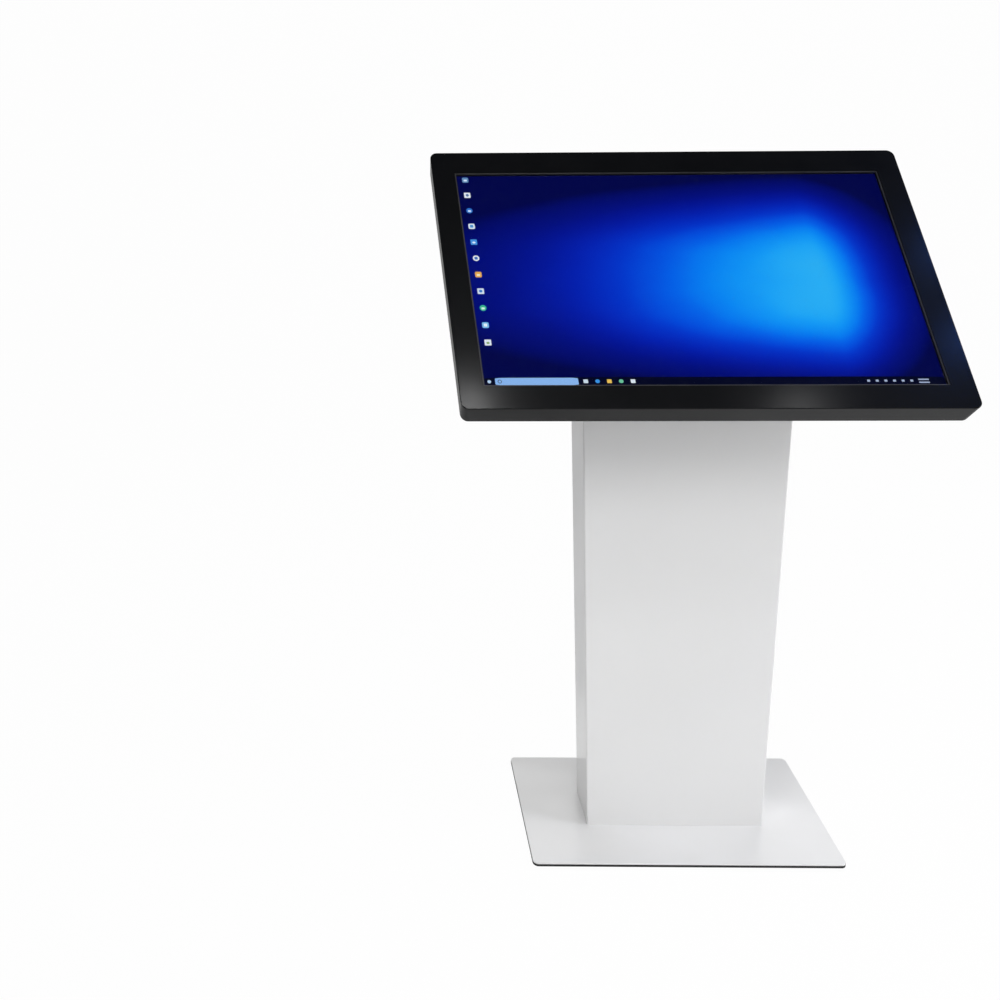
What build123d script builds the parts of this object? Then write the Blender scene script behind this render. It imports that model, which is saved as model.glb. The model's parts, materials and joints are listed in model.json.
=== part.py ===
"""Free-standing touchscreen kiosk: base plate, folded column and tilted display head.

Millimetres, +Z up, the front of the kiosk faces -Y. The origin is the centre of the
underside of the base, on the floor.
"""

from build123d import *
import math
import os

os.makedirs("parts", exist_ok=True)

# ---- Display and head ---------------------------------------------------------
display_w = 698.4  # lit area of a 31.5 inch, 16:9 display
display_h = 392.9
head_w = 780.0
head_h = 480.0
head_d = 45.0
head_corner_r = 12.0
head_tilt = 44.0  # slope of the face above the horizontal
head_y = -31.0  # centre of the face
head_z = 1125.0
screen_drop = 1.5  # screen centre below the face's centre
bezel_reveal = 3.0  # bezel opening outside the lit area
sheet_t = 1.5  # painted sheet of the head and the door
front_edge_r = 1.2
return_flange = 14.0

# ---- Base and column ----------------------------------------------------------
base_w = 600.0
base_d = 300.0
base_t = 6.0
base_corner_r = 10.0
underlay_t = 2.5
underlay_inset = 1.5
column_w = 350.0
column_d = 100.0
column_t = 2.0
column_bend_r = 3.0
foot_t = 5.0
top_plate_t = 5.0
cable_entry_w = 90.0
cable_entry_d = 36.0
cable_entry_x = -70.0

# ---- Rear door ----------------------------------------------------------------
door_open_w = 300.0
door_open_low = 80.0
door_open_top = 1000.0
door_gap = 2.0
door_fold = 15.0
stop_flange = 12.0
weld_flange = 13.5
seal_t = 1.2
hinge_height = 60.0
hinge_inset = 90.0  # hinge centre from the door opening's end
hinge_pin_r = 1.5
knuckle_r = 3.2
knuckle_count = 5
leaf_t = 1.5
leaf_w = 18.0
lock_inset = 32.0  # lock axis from the free edge of the door opening
lock_above_middle = 20.0

# ---- Fits ---------------------------------------------------------------------
running = 0.05  # radial clearance of a turning or sliding fit
seat = 0.3  # gap between curved or soft pieces
weld_gap = 0.2
screw_clear = 0.3

# ---- Equipment ----------------------------------------------------------------
plate_w = 300.0
plate_low = 370.0
plate_top = 850.0
plate_t = 2.0
rail_w = 25.0
rail_d = 10.0
rail_x = 125.0
pc_w = 200.0
pc_h = 190.0
pc_d = 38.0
pc_x = 10.0
pc_low = 640.0
psu_w = 98.0
psu_h = 160.0
psu_d = 38.0
psu_x = 40.0
psu_low = 430.0
case_t = 1.2
cable_r = 3.0
cable_x = 15.0  # the two head cables, either side of the middle
cable_y = -10.0  # where they rise inside the column

# ---- Derived ------------------------------------------------------------------
tilt = math.radians(head_tilt)
deck_z = underlay_t + base_t
inner_w = column_w - 2 * column_t
inner_d = column_d - 2 * column_t
front_wall_y = -column_d / 2 + column_t
door_mid = (door_open_low + door_open_top) / 2
door_open_h = door_open_top - door_open_low

face = Plane(
    origin=(0, head_y, head_z),
    x_dir=(1, 0, 0),
    z_dir=(0, -math.sin(tilt), math.cos(tilt)),
)
head_back = face.offset(-head_d)
rear = Plane(origin=(0, column_d / 2, door_mid), x_dir=(1, 0, 0), z_dir=(0, -1, 0))
screen_v = -screen_drop
opening_w = display_w + 2 * bezel_reveal
opening_h = display_h + 2 * bezel_reveal

# Layers of the head, as depths behind the bezel's face
touch_t = 2.0
glass_t = 3.0
gasket_t = 0.5
module_t = 12.0
cover_t = 2.0
tray_t = 3.0
glass_at = sheet_t + touch_t
gasket_at = glass_at + glass_t
module_at = gasket_at + gasket_t
module_back = module_at + module_t
cover_at = head_d - cover_t
flange_at = cover_at - sheet_t
tray_at = flange_at - tray_t


def ring(outer_w, outer_h, hole_w, hole_h):
    """Draw a rectangular ring in the sketch that is open."""
    Rectangle(outer_w, outer_h)
    Rectangle(hole_w, hole_h, mode=Mode.SUBTRACT)


def dome_screws(plane, points, shank_r, length, head_r, head_t):
    """Dome-headed screws: heads on the plane, shanks going against its normal."""
    with BuildPart() as screws:
        with BuildSketch(plane):
            with Locations(*points):
                Circle(head_r)
        extrude(amount=head_t)
        rims = screws.edges().filter_by(GeomType.CIRCLE).group_by(SortBy.RADIUS)[-1]
        rims = [e for e in rims if plane.to_local_coords(e).center().Z > head_t / 2]
        fillet(rims, 0.45 * head_t)
        with BuildSketch(plane.offset(head_t)):
            with Locations(*points):
                RegularPolygon(0.42 * head_r, 6)
        extrude(amount=-0.5 * head_t, mode=Mode.SUBTRACT)
        with BuildSketch(plane):
            with Locations(*points):
                Circle(shank_r)
        extrude(amount=-length)
    return screws.part


def hex_nuts(plane, points, across, bore_r, height):
    """Hexagon nuts that lie on the plane."""
    with BuildPart() as nuts:
        with BuildSketch(plane):
            with Locations(*points):
                RegularPolygon(across / 2, 6, major_radius=False)
                Circle(bore_r, mode=Mode.SUBTRACT)
        extrude(amount=height)
    return nuts.part


def grid(nx, ny, dx, dy):
    """Points of a grid centred on zero."""
    xs = [(i - (nx - 1) / 2) * dx for i in range(nx)]
    ys = [(j - (ny - 1) / 2) * dy for j in range(ny)]
    return [(x, y) for x in xs for y in ys]


def save(piece, name):
    """Label a finished piece and write its file."""
    piece.label = name
    export_step(piece, f"parts/{name}.step")


# ==== Base =====================================================================
base_bolt_r = 4.0
base_bolt_points = grid(3, 2, 0.4 * column_w, 0.6 * column_d)

with BuildPart() as base_underlay:
    with BuildSketch():
        RectangleRounded(
            base_w - 2 * underlay_inset, base_d - 2 * underlay_inset, base_corner_r
        )
        with Locations((cable_entry_x, 0)):
            RectangleRounded(cable_entry_w, cable_entry_d, 6, mode=Mode.SUBTRACT)
    extrude(amount=underlay_t)
save(base_underlay.part, "base_underlay")

with BuildPart() as base_plate:
    with BuildSketch(Plane.XY.offset(underlay_t)):
        RectangleRounded(base_w, base_d, base_corner_r)
        with Locations((cable_entry_x, 0)):
            RectangleRounded(cable_entry_w, cable_entry_d, 6, mode=Mode.SUBTRACT)
    extrude(amount=base_t)
    rims = base_plate.faces().sort_by(Axis.Z)[-1].outer_wire().edges()
    fillet(rims, 0.8)
    with BuildSketch(Plane.XY.offset(deck_z)):
        with Locations(*base_bolt_points):
            Circle(base_bolt_r + running)
    extrude(amount=-base_t, mode=Mode.SUBTRACT)
save(base_plate.part, "base_plate")

# ==== Column ===================================================================
inlet_w = 46.6
inlet_h = 26.6
inlet_x = 80.0
inlet_z = 45.0
cutout_clear = 0.2
lock_x = door_open_w / 2 - lock_inset
pivot_x = -door_open_w / 2 + door_gap / 2
pivot_out = knuckle_r + seat
pivot_y = column_d / 2 + pivot_out
hinge_centres = [
    door_open_low + hinge_inset,
    door_open_top - hinge_inset,
]
hinge_screw_step = hinge_height / 3
leaf_screw_x = knuckle_r + 0.7 + leaf_w / 2
hinge_screw_r = 1.95


def hinge_screw_points(side):
    """Screws of both hinges on one side of the pivot, in the rear plane."""
    return [
        (pivot_x + side * leaf_screw_x, centre + step * hinge_screw_step - door_mid)
        for centre in hinge_centres
        for step in (-1, 0, 1)
    ]


with BuildPart() as column_shell:
    with BuildSketch(Plane.XY.offset(deck_z)):
        RectangleRounded(column_w, column_d, column_bend_r)
        RectangleRounded(
            inner_w, inner_d, column_bend_r - column_t, mode=Mode.SUBTRACT
        )
    extrude(amount=head_z - deck_z + head_h / 2)
    split(bisect_by=head_back, keep=Keep.BOTTOM)
    with BuildSketch(rear):
        Rectangle(door_open_w, door_open_h)
        with Locations((inlet_x, inlet_z - door_mid)):
            Rectangle(inlet_w + 2 * cutout_clear, inlet_h + 2 * cutout_clear)
        with Locations(*hinge_screw_points(-1)):
            Circle(hinge_screw_r + running)
    extrude(amount=column_t, mode=Mode.SUBTRACT)
save(column_shell.part, "column_shell")

with BuildPart() as column_foot:
    with BuildSketch(Plane.XY.offset(deck_z)):
        RectangleRounded(inner_w - 2 * weld_gap, inner_d - 2 * weld_gap, 1.5)
        with Locations((cable_entry_x, 0)):
            RectangleRounded(cable_entry_w, cable_entry_d, 6, mode=Mode.SUBTRACT)
        with Locations(*base_bolt_points):
            Circle(base_bolt_r + screw_clear, mode=Mode.SUBTRACT)
    extrude(amount=foot_t)
save(column_foot.part, "column_foot")

base_bolts = dome_screws(
    Plane.XY.offset(deck_z + foot_t),
    base_bolt_points,
    base_bolt_r,
    foot_t + base_t - 0.5,
    7.0,
    4.4,
)
save(base_bolts, "base_bolts")

# The plate that carries the head, welded across the mitred top of the column
head_bolt_r = 4.0
head_bolt_points = grid(2, 2, column_w - 40, 90)
lead_hole_w = 60.0
lead_hole_h = 28.0
lead_bend = cable_y - head_y  # along Y, from the face's centre to the rising cables
lead_rise = 25.0  # straight run of each cable below the head
lead_v = (
    lead_bend
    - (lead_rise + head_d) * math.sin(tilt)
) / math.cos(tilt)

with BuildPart() as column_top_plate:
    with BuildSketch(Plane.XY.offset(door_open_top)):
        RectangleRounded(inner_w - 2 * weld_gap, inner_d - 2 * weld_gap, 1.0)
    extrude(amount=head_h)
    split(bisect_by=head_back, keep=Keep.BOTTOM)
    split(bisect_by=head_back.offset(-top_plate_t), keep=Keep.TOP)
    with BuildSketch(head_back):
        with Locations(*head_bolt_points):
            Circle(head_bolt_r + screw_clear)
        with Locations((0, lead_v)):
            RectangleRounded(lead_hole_w, lead_hole_h, 6)
    extrude(amount=-2 * top_plate_t, mode=Mode.SUBTRACT)
save(column_top_plate.part, "column_top_plate")

# ==== Rear door frame, seal and door ===========================================
stop_at = door_fold + seal_t + seat

with BuildPart() as door_frame:
    with BuildSketch(rear.offset(column_t)):
        ring(
            door_open_w + 2 * (sheet_t + weld_flange),
            door_open_h + 2 * (sheet_t + weld_flange),
            door_open_w,
            door_open_h,
        )
    extrude(amount=sheet_t)
    with BuildSketch(rear.offset(column_t)):
        ring(
            door_open_w + 2 * sheet_t,
            door_open_h + 2 * sheet_t,
            door_open_w,
            door_open_h,
        )
    extrude(amount=stop_at + sheet_t - column_t)
    with BuildSketch(rear.offset(stop_at)):
        ring(
            door_open_w + 2 * sheet_t,
            door_open_h + 2 * sheet_t,
            door_open_w - 2 * stop_flange,
            door_open_h - 2 * stop_flange,
        )
    extrude(amount=sheet_t)
    with BuildSketch(rear.offset(column_t)):
        with Locations(*hinge_screw_points(-1)):
            Circle(hinge_screw_r + running)
    extrude(amount=sheet_t, mode=Mode.SUBTRACT)
save(door_frame.part, "door_frame")

with BuildPart() as door_seal:
    with BuildSketch(rear.offset(stop_at)):
        ring(
            door_open_w - 1.0,
            door_open_h - 1.0,
            door_open_w - 2 * (stop_flange - 1.5),
            door_open_h - 2 * (stop_flange - 1.5),
        )
    extrude(amount=-seal_t)
save(door_seal.part, "door_seal")

door_w = door_open_w - 2 * door_gap
door_h = door_open_h - 2 * door_gap
lock_body_r = 9.4
lock_v = lock_above_middle
vent_slot = 3.5
vent_length = 40.0

with BuildPart() as rear_door:
    with BuildSketch(rear):
        RectangleRounded(door_w, door_h, 1.5)
    extrude(amount=door_fold)
    with BuildSketch(rear.offset(sheet_t)):
        Rectangle(door_w - 2 * sheet_t, door_h - 2 * sheet_t)
    extrude(amount=door_fold, mode=Mode.SUBTRACT)
    with BuildSketch(rear):
        with Locations((lock_x, lock_v)):
            Circle(lock_body_r + running)
        with Locations(*hinge_screw_points(1)):
            Circle(hinge_screw_r + running)
        for v in (-0.36 * door_h, 0.36 * door_h):
            with Locations((0, v)):
                with GridLocations(vent_length + 12, 9, 3, 8):
                    SlotOverall(vent_length, vent_slot)
    extrude(amount=sheet_t, mode=Mode.SUBTRACT)
save(rear_door.part, "rear_door")

# ==== Hinges ===================================================================
knuckle_h = hinge_height / knuckle_count
knuckle_gap = 0.3
leaf_start = knuckle_r + 0.7


def hinge_leaves(side, knuckles):
    """Both hinges' leaves on one side of the pivot, with their share of the knuckles."""
    with BuildPart() as leaves:
        for centre in hinge_centres:
            low = centre - hinge_height / 2
            with BuildSketch(Plane.XY.offset(low)):
                with Locations(
                    (
                        pivot_x + side * (leaf_start + leaf_w / 2),
                        column_d / 2 + leaf_t / 2,
                    )
                ):
                    Rectangle(leaf_w, leaf_t)
            extrude(amount=hinge_height)
            for k in knuckles:
                with BuildSketch(
                    Plane.XY.offset(low + k * knuckle_h + knuckle_gap / 2)
                ):
                    with Locations((pivot_x, pivot_y)):
                        Circle(knuckle_r)
                    with Locations(
                        (pivot_x + side * leaf_start / 2, column_d / 2 + leaf_t / 2)
                    ):
                        Rectangle(leaf_start, leaf_t)
                    with Locations((pivot_x, pivot_y)):
                        Circle(hinge_pin_r + running, mode=Mode.SUBTRACT)
                extrude(amount=knuckle_h - knuckle_gap)
        with BuildSketch(rear):
            with Locations(*hinge_screw_points(side)):
                Circle(hinge_screw_r + screw_clear)
        extrude(amount=-leaf_t, mode=Mode.SUBTRACT)
    return leaves.part


save(hinge_leaves(-1, (0, 2, 4)), "hinge_frame_leaves")
save(hinge_leaves(1, (1, 3)), "hinge_door_leaves")

with BuildPart() as hinge_pins:
    for centre in hinge_centres:
        with BuildSketch(Plane.XY.offset(centre - hinge_height / 2 - 1)):
            with Locations((pivot_x, pivot_y)):
                Circle(hinge_pin_r)
        extrude(amount=hinge_height + 1)
        with BuildSketch(Plane.XY.offset(centre + hinge_height / 2)):
            with Locations((pivot_x, pivot_y)):
                Circle(knuckle_r - 0.6)
        extrude(amount=1.2)
save(hinge_pins.part, "hinge_pins")

leaf_plane = Plane(
    origin=(0, column_d / 2 + leaf_t, door_mid), x_dir=(-1, 0, 0), z_dir=(0, 1, 0)
)
for name, side in (("hinge_screws", -1), ("door_hinge_screws", 1)):
    points = [(-x, z) for x, z in hinge_screw_points(side)]
    save(dome_screws(leaf_plane, points, hinge_screw_r, 6.0, 3.6, 2.0), name)

# ==== Cam lock =================================================================
plug_r = 6.0
lock_flange_r = 11.0
lock_flange_t = 2.5
lock_depth = 17.0  # barrel's inner end, behind the door's outer face
cam_at = stop_at + sheet_t + 0.5
cam_t = 2.0
tang = 6.9
lock_face = rear.offset(-lock_flange_t)

with BuildPart() as lock_body:
    with BuildSketch(rear):
        with Locations((lock_x, lock_v)):
            Circle(lock_flange_r)
    extrude(amount=-lock_flange_t)
    with BuildSketch(rear):
        with Locations((lock_x, lock_v)):
            Circle(lock_body_r)
    extrude(amount=lock_depth)
    with BuildSketch(lock_face):
        with Locations((lock_x, lock_v)):
            Circle(plug_r + running)
    extrude(amount=lock_depth + lock_flange_t, mode=Mode.SUBTRACT)
save(lock_body.part, "lock_body")

save(
    hex_nuts(rear.offset(sheet_t), [(lock_x, lock_v)], 24.0, lock_body_r + running, 3.0),
    "lock_nut",
)

with BuildPart() as lock_plug:
    with BuildSketch(lock_face):
        with Locations((lock_x, lock_v)):
            Circle(plug_r)
    extrude(amount=cam_at + lock_flange_t)
    with BuildSketch(lock_face):
        with Locations((lock_x, lock_v)):
            SlotOverall(8.0, 1.6, rotation=90)
    extrude(amount=lock_depth - 3, mode=Mode.SUBTRACT)
    with BuildSketch(rear.offset(cam_at)):
        with Locations((lock_x, lock_v)):
            Rectangle(tang, tang)
    extrude(amount=cam_t - 0.1)
    with BuildSketch(rear.offset(cam_at + cam_t)):
        with Locations((lock_x, lock_v)):
            Circle(2.0 + running)
    extrude(amount=-8.0, mode=Mode.SUBTRACT)
save(lock_plug.part, "lock_plug")

cam_reach = lock_inset - stop_flange + 8.0
with BuildPart() as lock_cam:
    with BuildSketch(rear.offset(cam_at)):
        with Locations((lock_x, lock_v)):
            Circle(8.0)
        with Locations((lock_x, lock_v - cam_reach / 2)):
            Rectangle(12.0, cam_reach)
        with Locations((lock_x, lock_v)):
            Rectangle(tang + 0.1, tang + 0.1, mode=Mode.SUBTRACT)
    extrude(amount=cam_t)
save(lock_cam.part, "lock_cam")

cam_back = Plane(
    origin=(0, column_d / 2 - cam_at - cam_t, door_mid), x_dir=(1, 0, 0), z_dir=(0, -1, 0)
)
save(dome_screws(cam_back, [(lock_x, lock_v)], 2.0, 7.5, 5.5, 2.2), "lock_cam_screw")

# ==== Mains inlet and rocker switch ============================================
inlet_flange_t = 2.0
inlet_depth = 22.0
inlet_face = Plane(
    origin=(inlet_x, column_d / 2 + inlet_flange_t, inlet_z),
    x_dir=(1, 0, 0),
    z_dir=(0, -1, 0),
)
socket_x = -11.0
socket_depth = 14.0
switch_x = 14.0
well_w = 13.0
well_h = 21.0
well_depth = 13.0
rocker_angle = 12.0
rocker_pivot = 6.0  # behind the flange's outer face
trunnion_r = 1.5
blade_tail = 8.0
blade_set_back = 2.0
blade_points = [(socket_x - 7, -2.5), (socket_x + 7, -2.5), (socket_x, 1.5)]

with BuildPart() as inlet_body:
    with BuildSketch(inlet_face):
        RectangleRounded(50.0, 30.0, 2)
    extrude(amount=inlet_flange_t)
    with BuildSketch(inlet_face.offset(inlet_flange_t)):
        Rectangle(inlet_w, inlet_h)
    extrude(amount=inlet_depth)
    with BuildSketch(inlet_face):
        with Locations((socket_x, 0)):
            RectangleRounded(22.0, 17.0, 2)
    extrude(amount=socket_depth, mode=Mode.SUBTRACT)
    with BuildSketch(inlet_face):
        with Locations(*blade_points):
            Rectangle(2.0 + 2 * running, 4.0 + 2 * running)
    extrude(amount=inlet_flange_t + inlet_depth, mode=Mode.SUBTRACT)
    with BuildSketch(inlet_face):
        with Locations((switch_x, 0)):
            Rectangle(well_w, well_h)
    extrude(amount=well_depth, mode=Mode.SUBTRACT)
    with Locations(
        Location(
            (inlet_x + switch_x, column_d / 2 + inlet_flange_t - rocker_pivot, inlet_z),
            (0, 90, 0),
        )
    ):
        Cylinder(trunnion_r + running, well_w + 3, mode=Mode.SUBTRACT)
save(inlet_body.part, "inlet_body")

with BuildPart() as inlet_pins:
    with BuildSketch(inlet_face.offset(blade_set_back)):
        with Locations(*blade_points):
            Rectangle(2.0, 4.0)
    extrude(amount=inlet_depth + blade_tail)
save(inlet_pins.part, "inlet_pins")

rocker_plane = Plane(
    origin=(inlet_x + switch_x, column_d / 2 + inlet_flange_t - rocker_pivot, inlet_z),
    x_dir=(0, math.sin(math.radians(rocker_angle)), math.cos(math.radians(rocker_angle))),
    z_dir=(1, 0, 0),
)
with BuildPart() as rocker_switch:
    with BuildSketch(rocker_plane):
        with BuildLine():
            Polyline((-9.3, -4.6), (0, -2.4), (9.3, -4.6))
            Line((9.3, -4.6), (9.3, -1.5))
            Line((9.3, -1.5), (4.5, 4.5))
            Line((4.5, 4.5), (-4.5, 4.5))
            Line((-4.5, 4.5), (-9.3, -1.5))
            Line((-9.3, -1.5), (-9.3, -4.6))
        make_face()
    extrude(amount=well_w / 2 - 0.25, both=True)
    with BuildSketch(rocker_plane):
        Circle(trunnion_r)
    extrude(amount=well_w / 2 + 1.2, both=True)
save(rocker_switch.part, "rocker_switch")

# ==== Equipment plate, rails and what it carries ===============================
plate_mid = (plate_low + plate_top) / 2
plate_y = front_wall_y + rail_d
equipment_back = Plane(
    origin=(0, plate_y + plate_t, plate_mid), x_dir=(-1, 0, 0), z_dir=(0, 1, 0)
)
plate_points = grid(2, 3, 2 * rail_x, 0.44 * (plate_top - plate_low))

with BuildPart() as equipment_rails:
    for side in (-1, 1):
        with BuildSketch(Plane.XY.offset(plate_low - 20)):
            with Locations((side * rail_x, front_wall_y + rail_d / 2)):
                Rectangle(rail_w, rail_d)
                with Locations((0, -sheet_t)):
                    Rectangle(rail_w - 2 * sheet_t, rail_d, mode=Mode.SUBTRACT)
        extrude(amount=plate_top - plate_low + 40)
    with BuildSketch(equipment_back.offset(-plate_t)):
        with Locations(*plate_points):
            Circle(2.0 + running)
    extrude(amount=-sheet_t, mode=Mode.SUBTRACT)
save(equipment_rails.part, "equipment_rails")

with BuildPart() as equipment_plate:
    with BuildSketch(equipment_back.offset(-plate_t)):
        RectangleRounded(plate_w, plate_top - plate_low, 4)
        with Locations(*plate_points):
            Circle(2.0 + screw_clear, mode=Mode.SUBTRACT)
    extrude(amount=plate_t)
save(equipment_plate.part, "equipment_plate")
save(
    dome_screws(equipment_back, plate_points, 2.0, plate_t + 4.0, 3.8, 2.4),
    "equipment_plate_screws",
)

pc_mid = pc_low + pc_h / 2
pc_face = Plane(
    origin=(pc_x, plate_y + plate_t, pc_mid), x_dir=(-1, 0, 0), z_dir=(0, 1, 0)
)
pc_button_r = 5.0
pc_button_at = (-0.38 * pc_w, 0.36 * pc_h)
pc_button_travel = 1.5
board_at = 8.0
board_t = 1.6

with BuildPart() as pc_base:
    with BuildSketch(pc_face):
        RectangleRounded(pc_w, pc_h, 6)
    extrude(amount=pc_d - case_t)
    with BuildSketch(pc_face.offset(case_t)):
        RectangleRounded(pc_w - 2 * case_t, pc_h - 2 * case_t, 6 - case_t)
    extrude(amount=pc_d, mode=Mode.SUBTRACT)
    with BuildSketch(pc_face):
        with Locations(*grid(2, 2, pc_w - 40, pc_h - 40)):
            Circle(3.5)
    extrude(amount=board_at)
save(pc_base.part, "pc_base")

with BuildPart() as pc_mainboard:
    with BuildSketch(pc_face.offset(board_at)):
        RectangleRounded(pc_w - 16, pc_h - 16, 2)
    extrude(amount=board_t)
    with BuildSketch(pc_face.offset(board_at + board_t)):
        Rectangle(60, 60)
    extrude(amount=14.0)
    switch_top = pc_d - case_t - pc_button_travel - 3.0
    with BuildSketch(pc_face.offset(board_at + board_t)):
        with Locations(pc_button_at):
            Rectangle(10, 10)
    extrude(amount=switch_top - board_at - board_t)
save(pc_mainboard.part, "pc_mainboard")

with BuildPart() as pc_cover:
    with BuildSketch(pc_face.offset(pc_d - case_t)):
        RectangleRounded(pc_w, pc_h, 6)
        with Locations(pc_button_at):
            Circle(pc_button_r + running, mode=Mode.SUBTRACT)
        with GridLocations(0, 8, 1, 9):
            SlotOverall(90, 3, mode=Mode.SUBTRACT)
    extrude(amount=case_t)
save(pc_cover.part, "pc_cover")

with BuildPart() as pc_power_button:
    with BuildSketch(pc_face.offset(pc_d - case_t)):
        with Locations(pc_button_at):
            Circle(pc_button_r + 1.2)
    extrude(amount=-1.0)
    with BuildSketch(pc_face.offset(pc_d - case_t)):
        with Locations(pc_button_at):
            Circle(pc_button_r)
    extrude(amount=case_t + 2.0)
save(pc_power_button.part, "pc_power_button")

psu_mid = psu_low + psu_h / 2
psu_face = Plane(
    origin=(psu_x, plate_y + plate_t, psu_mid), x_dir=(-1, 0, 0), z_dir=(0, 1, 0)
)
terminal_h = 14.0
with BuildPart() as psu_case:
    with BuildSketch(psu_face):
        Rectangle(psu_w, psu_h)
    extrude(amount=case_t)
    with BuildSketch(psu_face.offset(case_t)):
        with Locations((0, terminal_h / 2)):
            Rectangle(psu_w - 4, psu_h - terminal_h - 4)
    extrude(amount=6.0)
save(psu_case.part, "psu_case")

with BuildPart() as psu_cover:
    with BuildSketch(psu_face.offset(case_t)):
        with Locations((0, terminal_h / 2)):
            Rectangle(psu_w, psu_h - terminal_h)
    extrude(amount=psu_d - case_t)
    with BuildSketch(psu_face.offset(case_t)):
        with Locations((0, terminal_h / 2)):
            Rectangle(psu_w - 2 * case_t, psu_h - terminal_h - 2 * case_t)
    extrude(amount=psu_d - 2 * case_t, mode=Mode.SUBTRACT)
    with BuildSketch(psu_face.offset(psu_d)):
        with Locations(*grid(8, 10, 10, 12)):
            Circle(2.0)
    extrude(amount=-case_t, mode=Mode.SUBTRACT)
save(psu_cover.part, "psu_cover")

mains_x = inlet_x + socket_x + 1.0
output_x = psu_x - 30.0
lead_depth = 10.0  # axis of a lead in front of the equipment plate
with BuildPart() as psu_terminals:
    with BuildSketch(psu_face.offset(case_t)):
        with Locations((0, -psu_h / 2 + terminal_h / 2 - 0.5)):
            Rectangle(psu_w - 6, terminal_h - 1.0)
    extrude(amount=16.0)
save(psu_terminals.part, "psu_terminals")

# ==== Cables inside the column and head ========================================
lead_y = plate_y + plate_t + lead_depth
lead_start_z = psu_low - 0.0
normal = Vector(0, -math.sin(tilt), math.cos(tilt))
lead_hole = face.from_local_coords(Vector(0, lead_v, -head_d))
board_depth = 29.0  # axis of a cable inside the head, behind the face
tail_x = 38.0
side_lane_x = -110.0


def lead_into_head(side):
    """Corners of a cable's run from the column, through the lead hole, to its board."""
    below = lead_hole - normal * lead_rise
    inside = lead_hole + normal * (head_d - board_depth)
    return [
        (side * cable_x, below.Y, below.Z),
        (side * cable_x, inside.Y, inside.Z),
        (side * tail_x, inside.Y, inside.Z),
    ]


def lead(points, radii):
    """A round cable along straight runs joined by tangent arcs."""
    with BuildPart() as cable:
        with BuildLine() as route:
            FilletPolyline(*points, radius=radii)
        start = Vector(*points[0])
        with BuildSketch(
            Plane(origin=start, z_dir=Vector(*points[1]) - start)
        ):
            Circle(cable_r)
        sweep(path=route.wire())
    print("cable", round(route.wire().length, 1), "mm, arcs", radii)
    return cable.part


save(
    lead([(cable_x, cable_y, pc_low + pc_h), *lead_into_head(1)], [20, 8]),
    "signal_cable",
)
save(
    lead(
        [
            (output_x, lead_y, psu_low),
            (output_x, lead_y, psu_low - 50),
            (side_lane_x, lead_y, psu_low - 50),
            (side_lane_x, lead_y, plate_top + 60),
            (-cable_x, cable_y, plate_top + 150),
            *lead_into_head(-1),
        ],
        [22, 22, 40, 40, 20, 8],
    ),
    "display_power_cable",
)
wall_lead_y = front_wall_y + cable_r + 1.5
blade_end_y = (
    column_d / 2 + inlet_flange_t - blade_set_back - inlet_depth - blade_tail
)
save(
    lead(
        [
            (mains_x, blade_end_y, inlet_z),
            (mains_x, wall_lead_y, inlet_z),
            (mains_x, wall_lead_y, plate_low - 70),
            (mains_x, lead_y, plate_low - 10),
            (mains_x, lead_y, psu_low),
        ],
        [15, 40, 40],
    ),
    "mains_lead",
)

with BuildPart() as cable_clips:
    for z in (430.0, 590.0, 750.0):
        clip_z = z + 0.0
        with BuildSketch(Plane.XY.offset(clip_z)):
            with Locations((side_lane_x, plate_y + plate_t + (lead_depth + 5) / 2)):
                Rectangle(14, lead_depth + 5)
            with Locations((side_lane_x, lead_y)):
                Circle(cable_r + seat, mode=Mode.SUBTRACT)
        extrude(amount=10)
    for z in (120.0, 220.0):
        with BuildSketch(Plane.XY.offset(z)):
            with Locations((mains_x, front_wall_y + (cable_r + 5.5) / 2 + 1.0)):
                Rectangle(14, cable_r + 7.5)
            with Locations((mains_x, wall_lead_y)):
                Circle(cable_r + seat, mode=Mode.SUBTRACT)
        extrude(amount=10)
save(cable_clips.part, "cable_clips")

# ==== Head: housing, cover and mounting ========================================
cover_hole_points = grid(4, 2, (head_w - 18) / 3, head_h - 18) + [
    (side * (head_w / 2 - 9), 0.32 * head_h * up) for side in (-1, 1) for up in (-1, 1)
]
cover_screw_r = 1.95
stud_points = grid(2, 3, display_w + 56, 0.32 * display_h)
stud_r = 2.0
tray_points = grid(2, 2, 120, head_h - 18)

with BuildPart() as head_housing:
    with BuildSketch(face):
        RectangleRounded(head_w, head_h, head_corner_r)
    extrude(amount=-cover_at)
    rims = [
        e
        for e in head_housing.edges()
        if face.to_local_coords(e).center().Z > -0.01
    ]
    fillet(rims, front_edge_r)
    with BuildSketch(face.offset(-sheet_t)):
        RectangleRounded(
            head_w - 2 * sheet_t, head_h - 2 * sheet_t, head_corner_r - sheet_t
        )
    extrude(amount=-(flange_at - sheet_t), mode=Mode.SUBTRACT)
    with BuildSketch(face):
        with Locations((0, screen_v)):
            RectangleRounded(opening_w, opening_h, 1.5)
    extrude(amount=-sheet_t, mode=Mode.SUBTRACT)
    with BuildSketch(face.offset(-cover_at)):
        RectangleRounded(head_w - 2 * return_flange, head_h - 2 * return_flange, 3)
        with Locations(*cover_hole_points):
            Circle(cover_screw_r + running)
        with Locations(*tray_points):
            Circle(2.0 + running)
    extrude(amount=sheet_t, mode=Mode.SUBTRACT)
    with BuildSketch(face.offset(-sheet_t)):
        with Locations(*[(x, y + screen_v) for x, y in stud_points]):
            Circle(stud_r)
    extrude(amount=-9.0)
save(head_housing.part, "head_housing")

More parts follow.
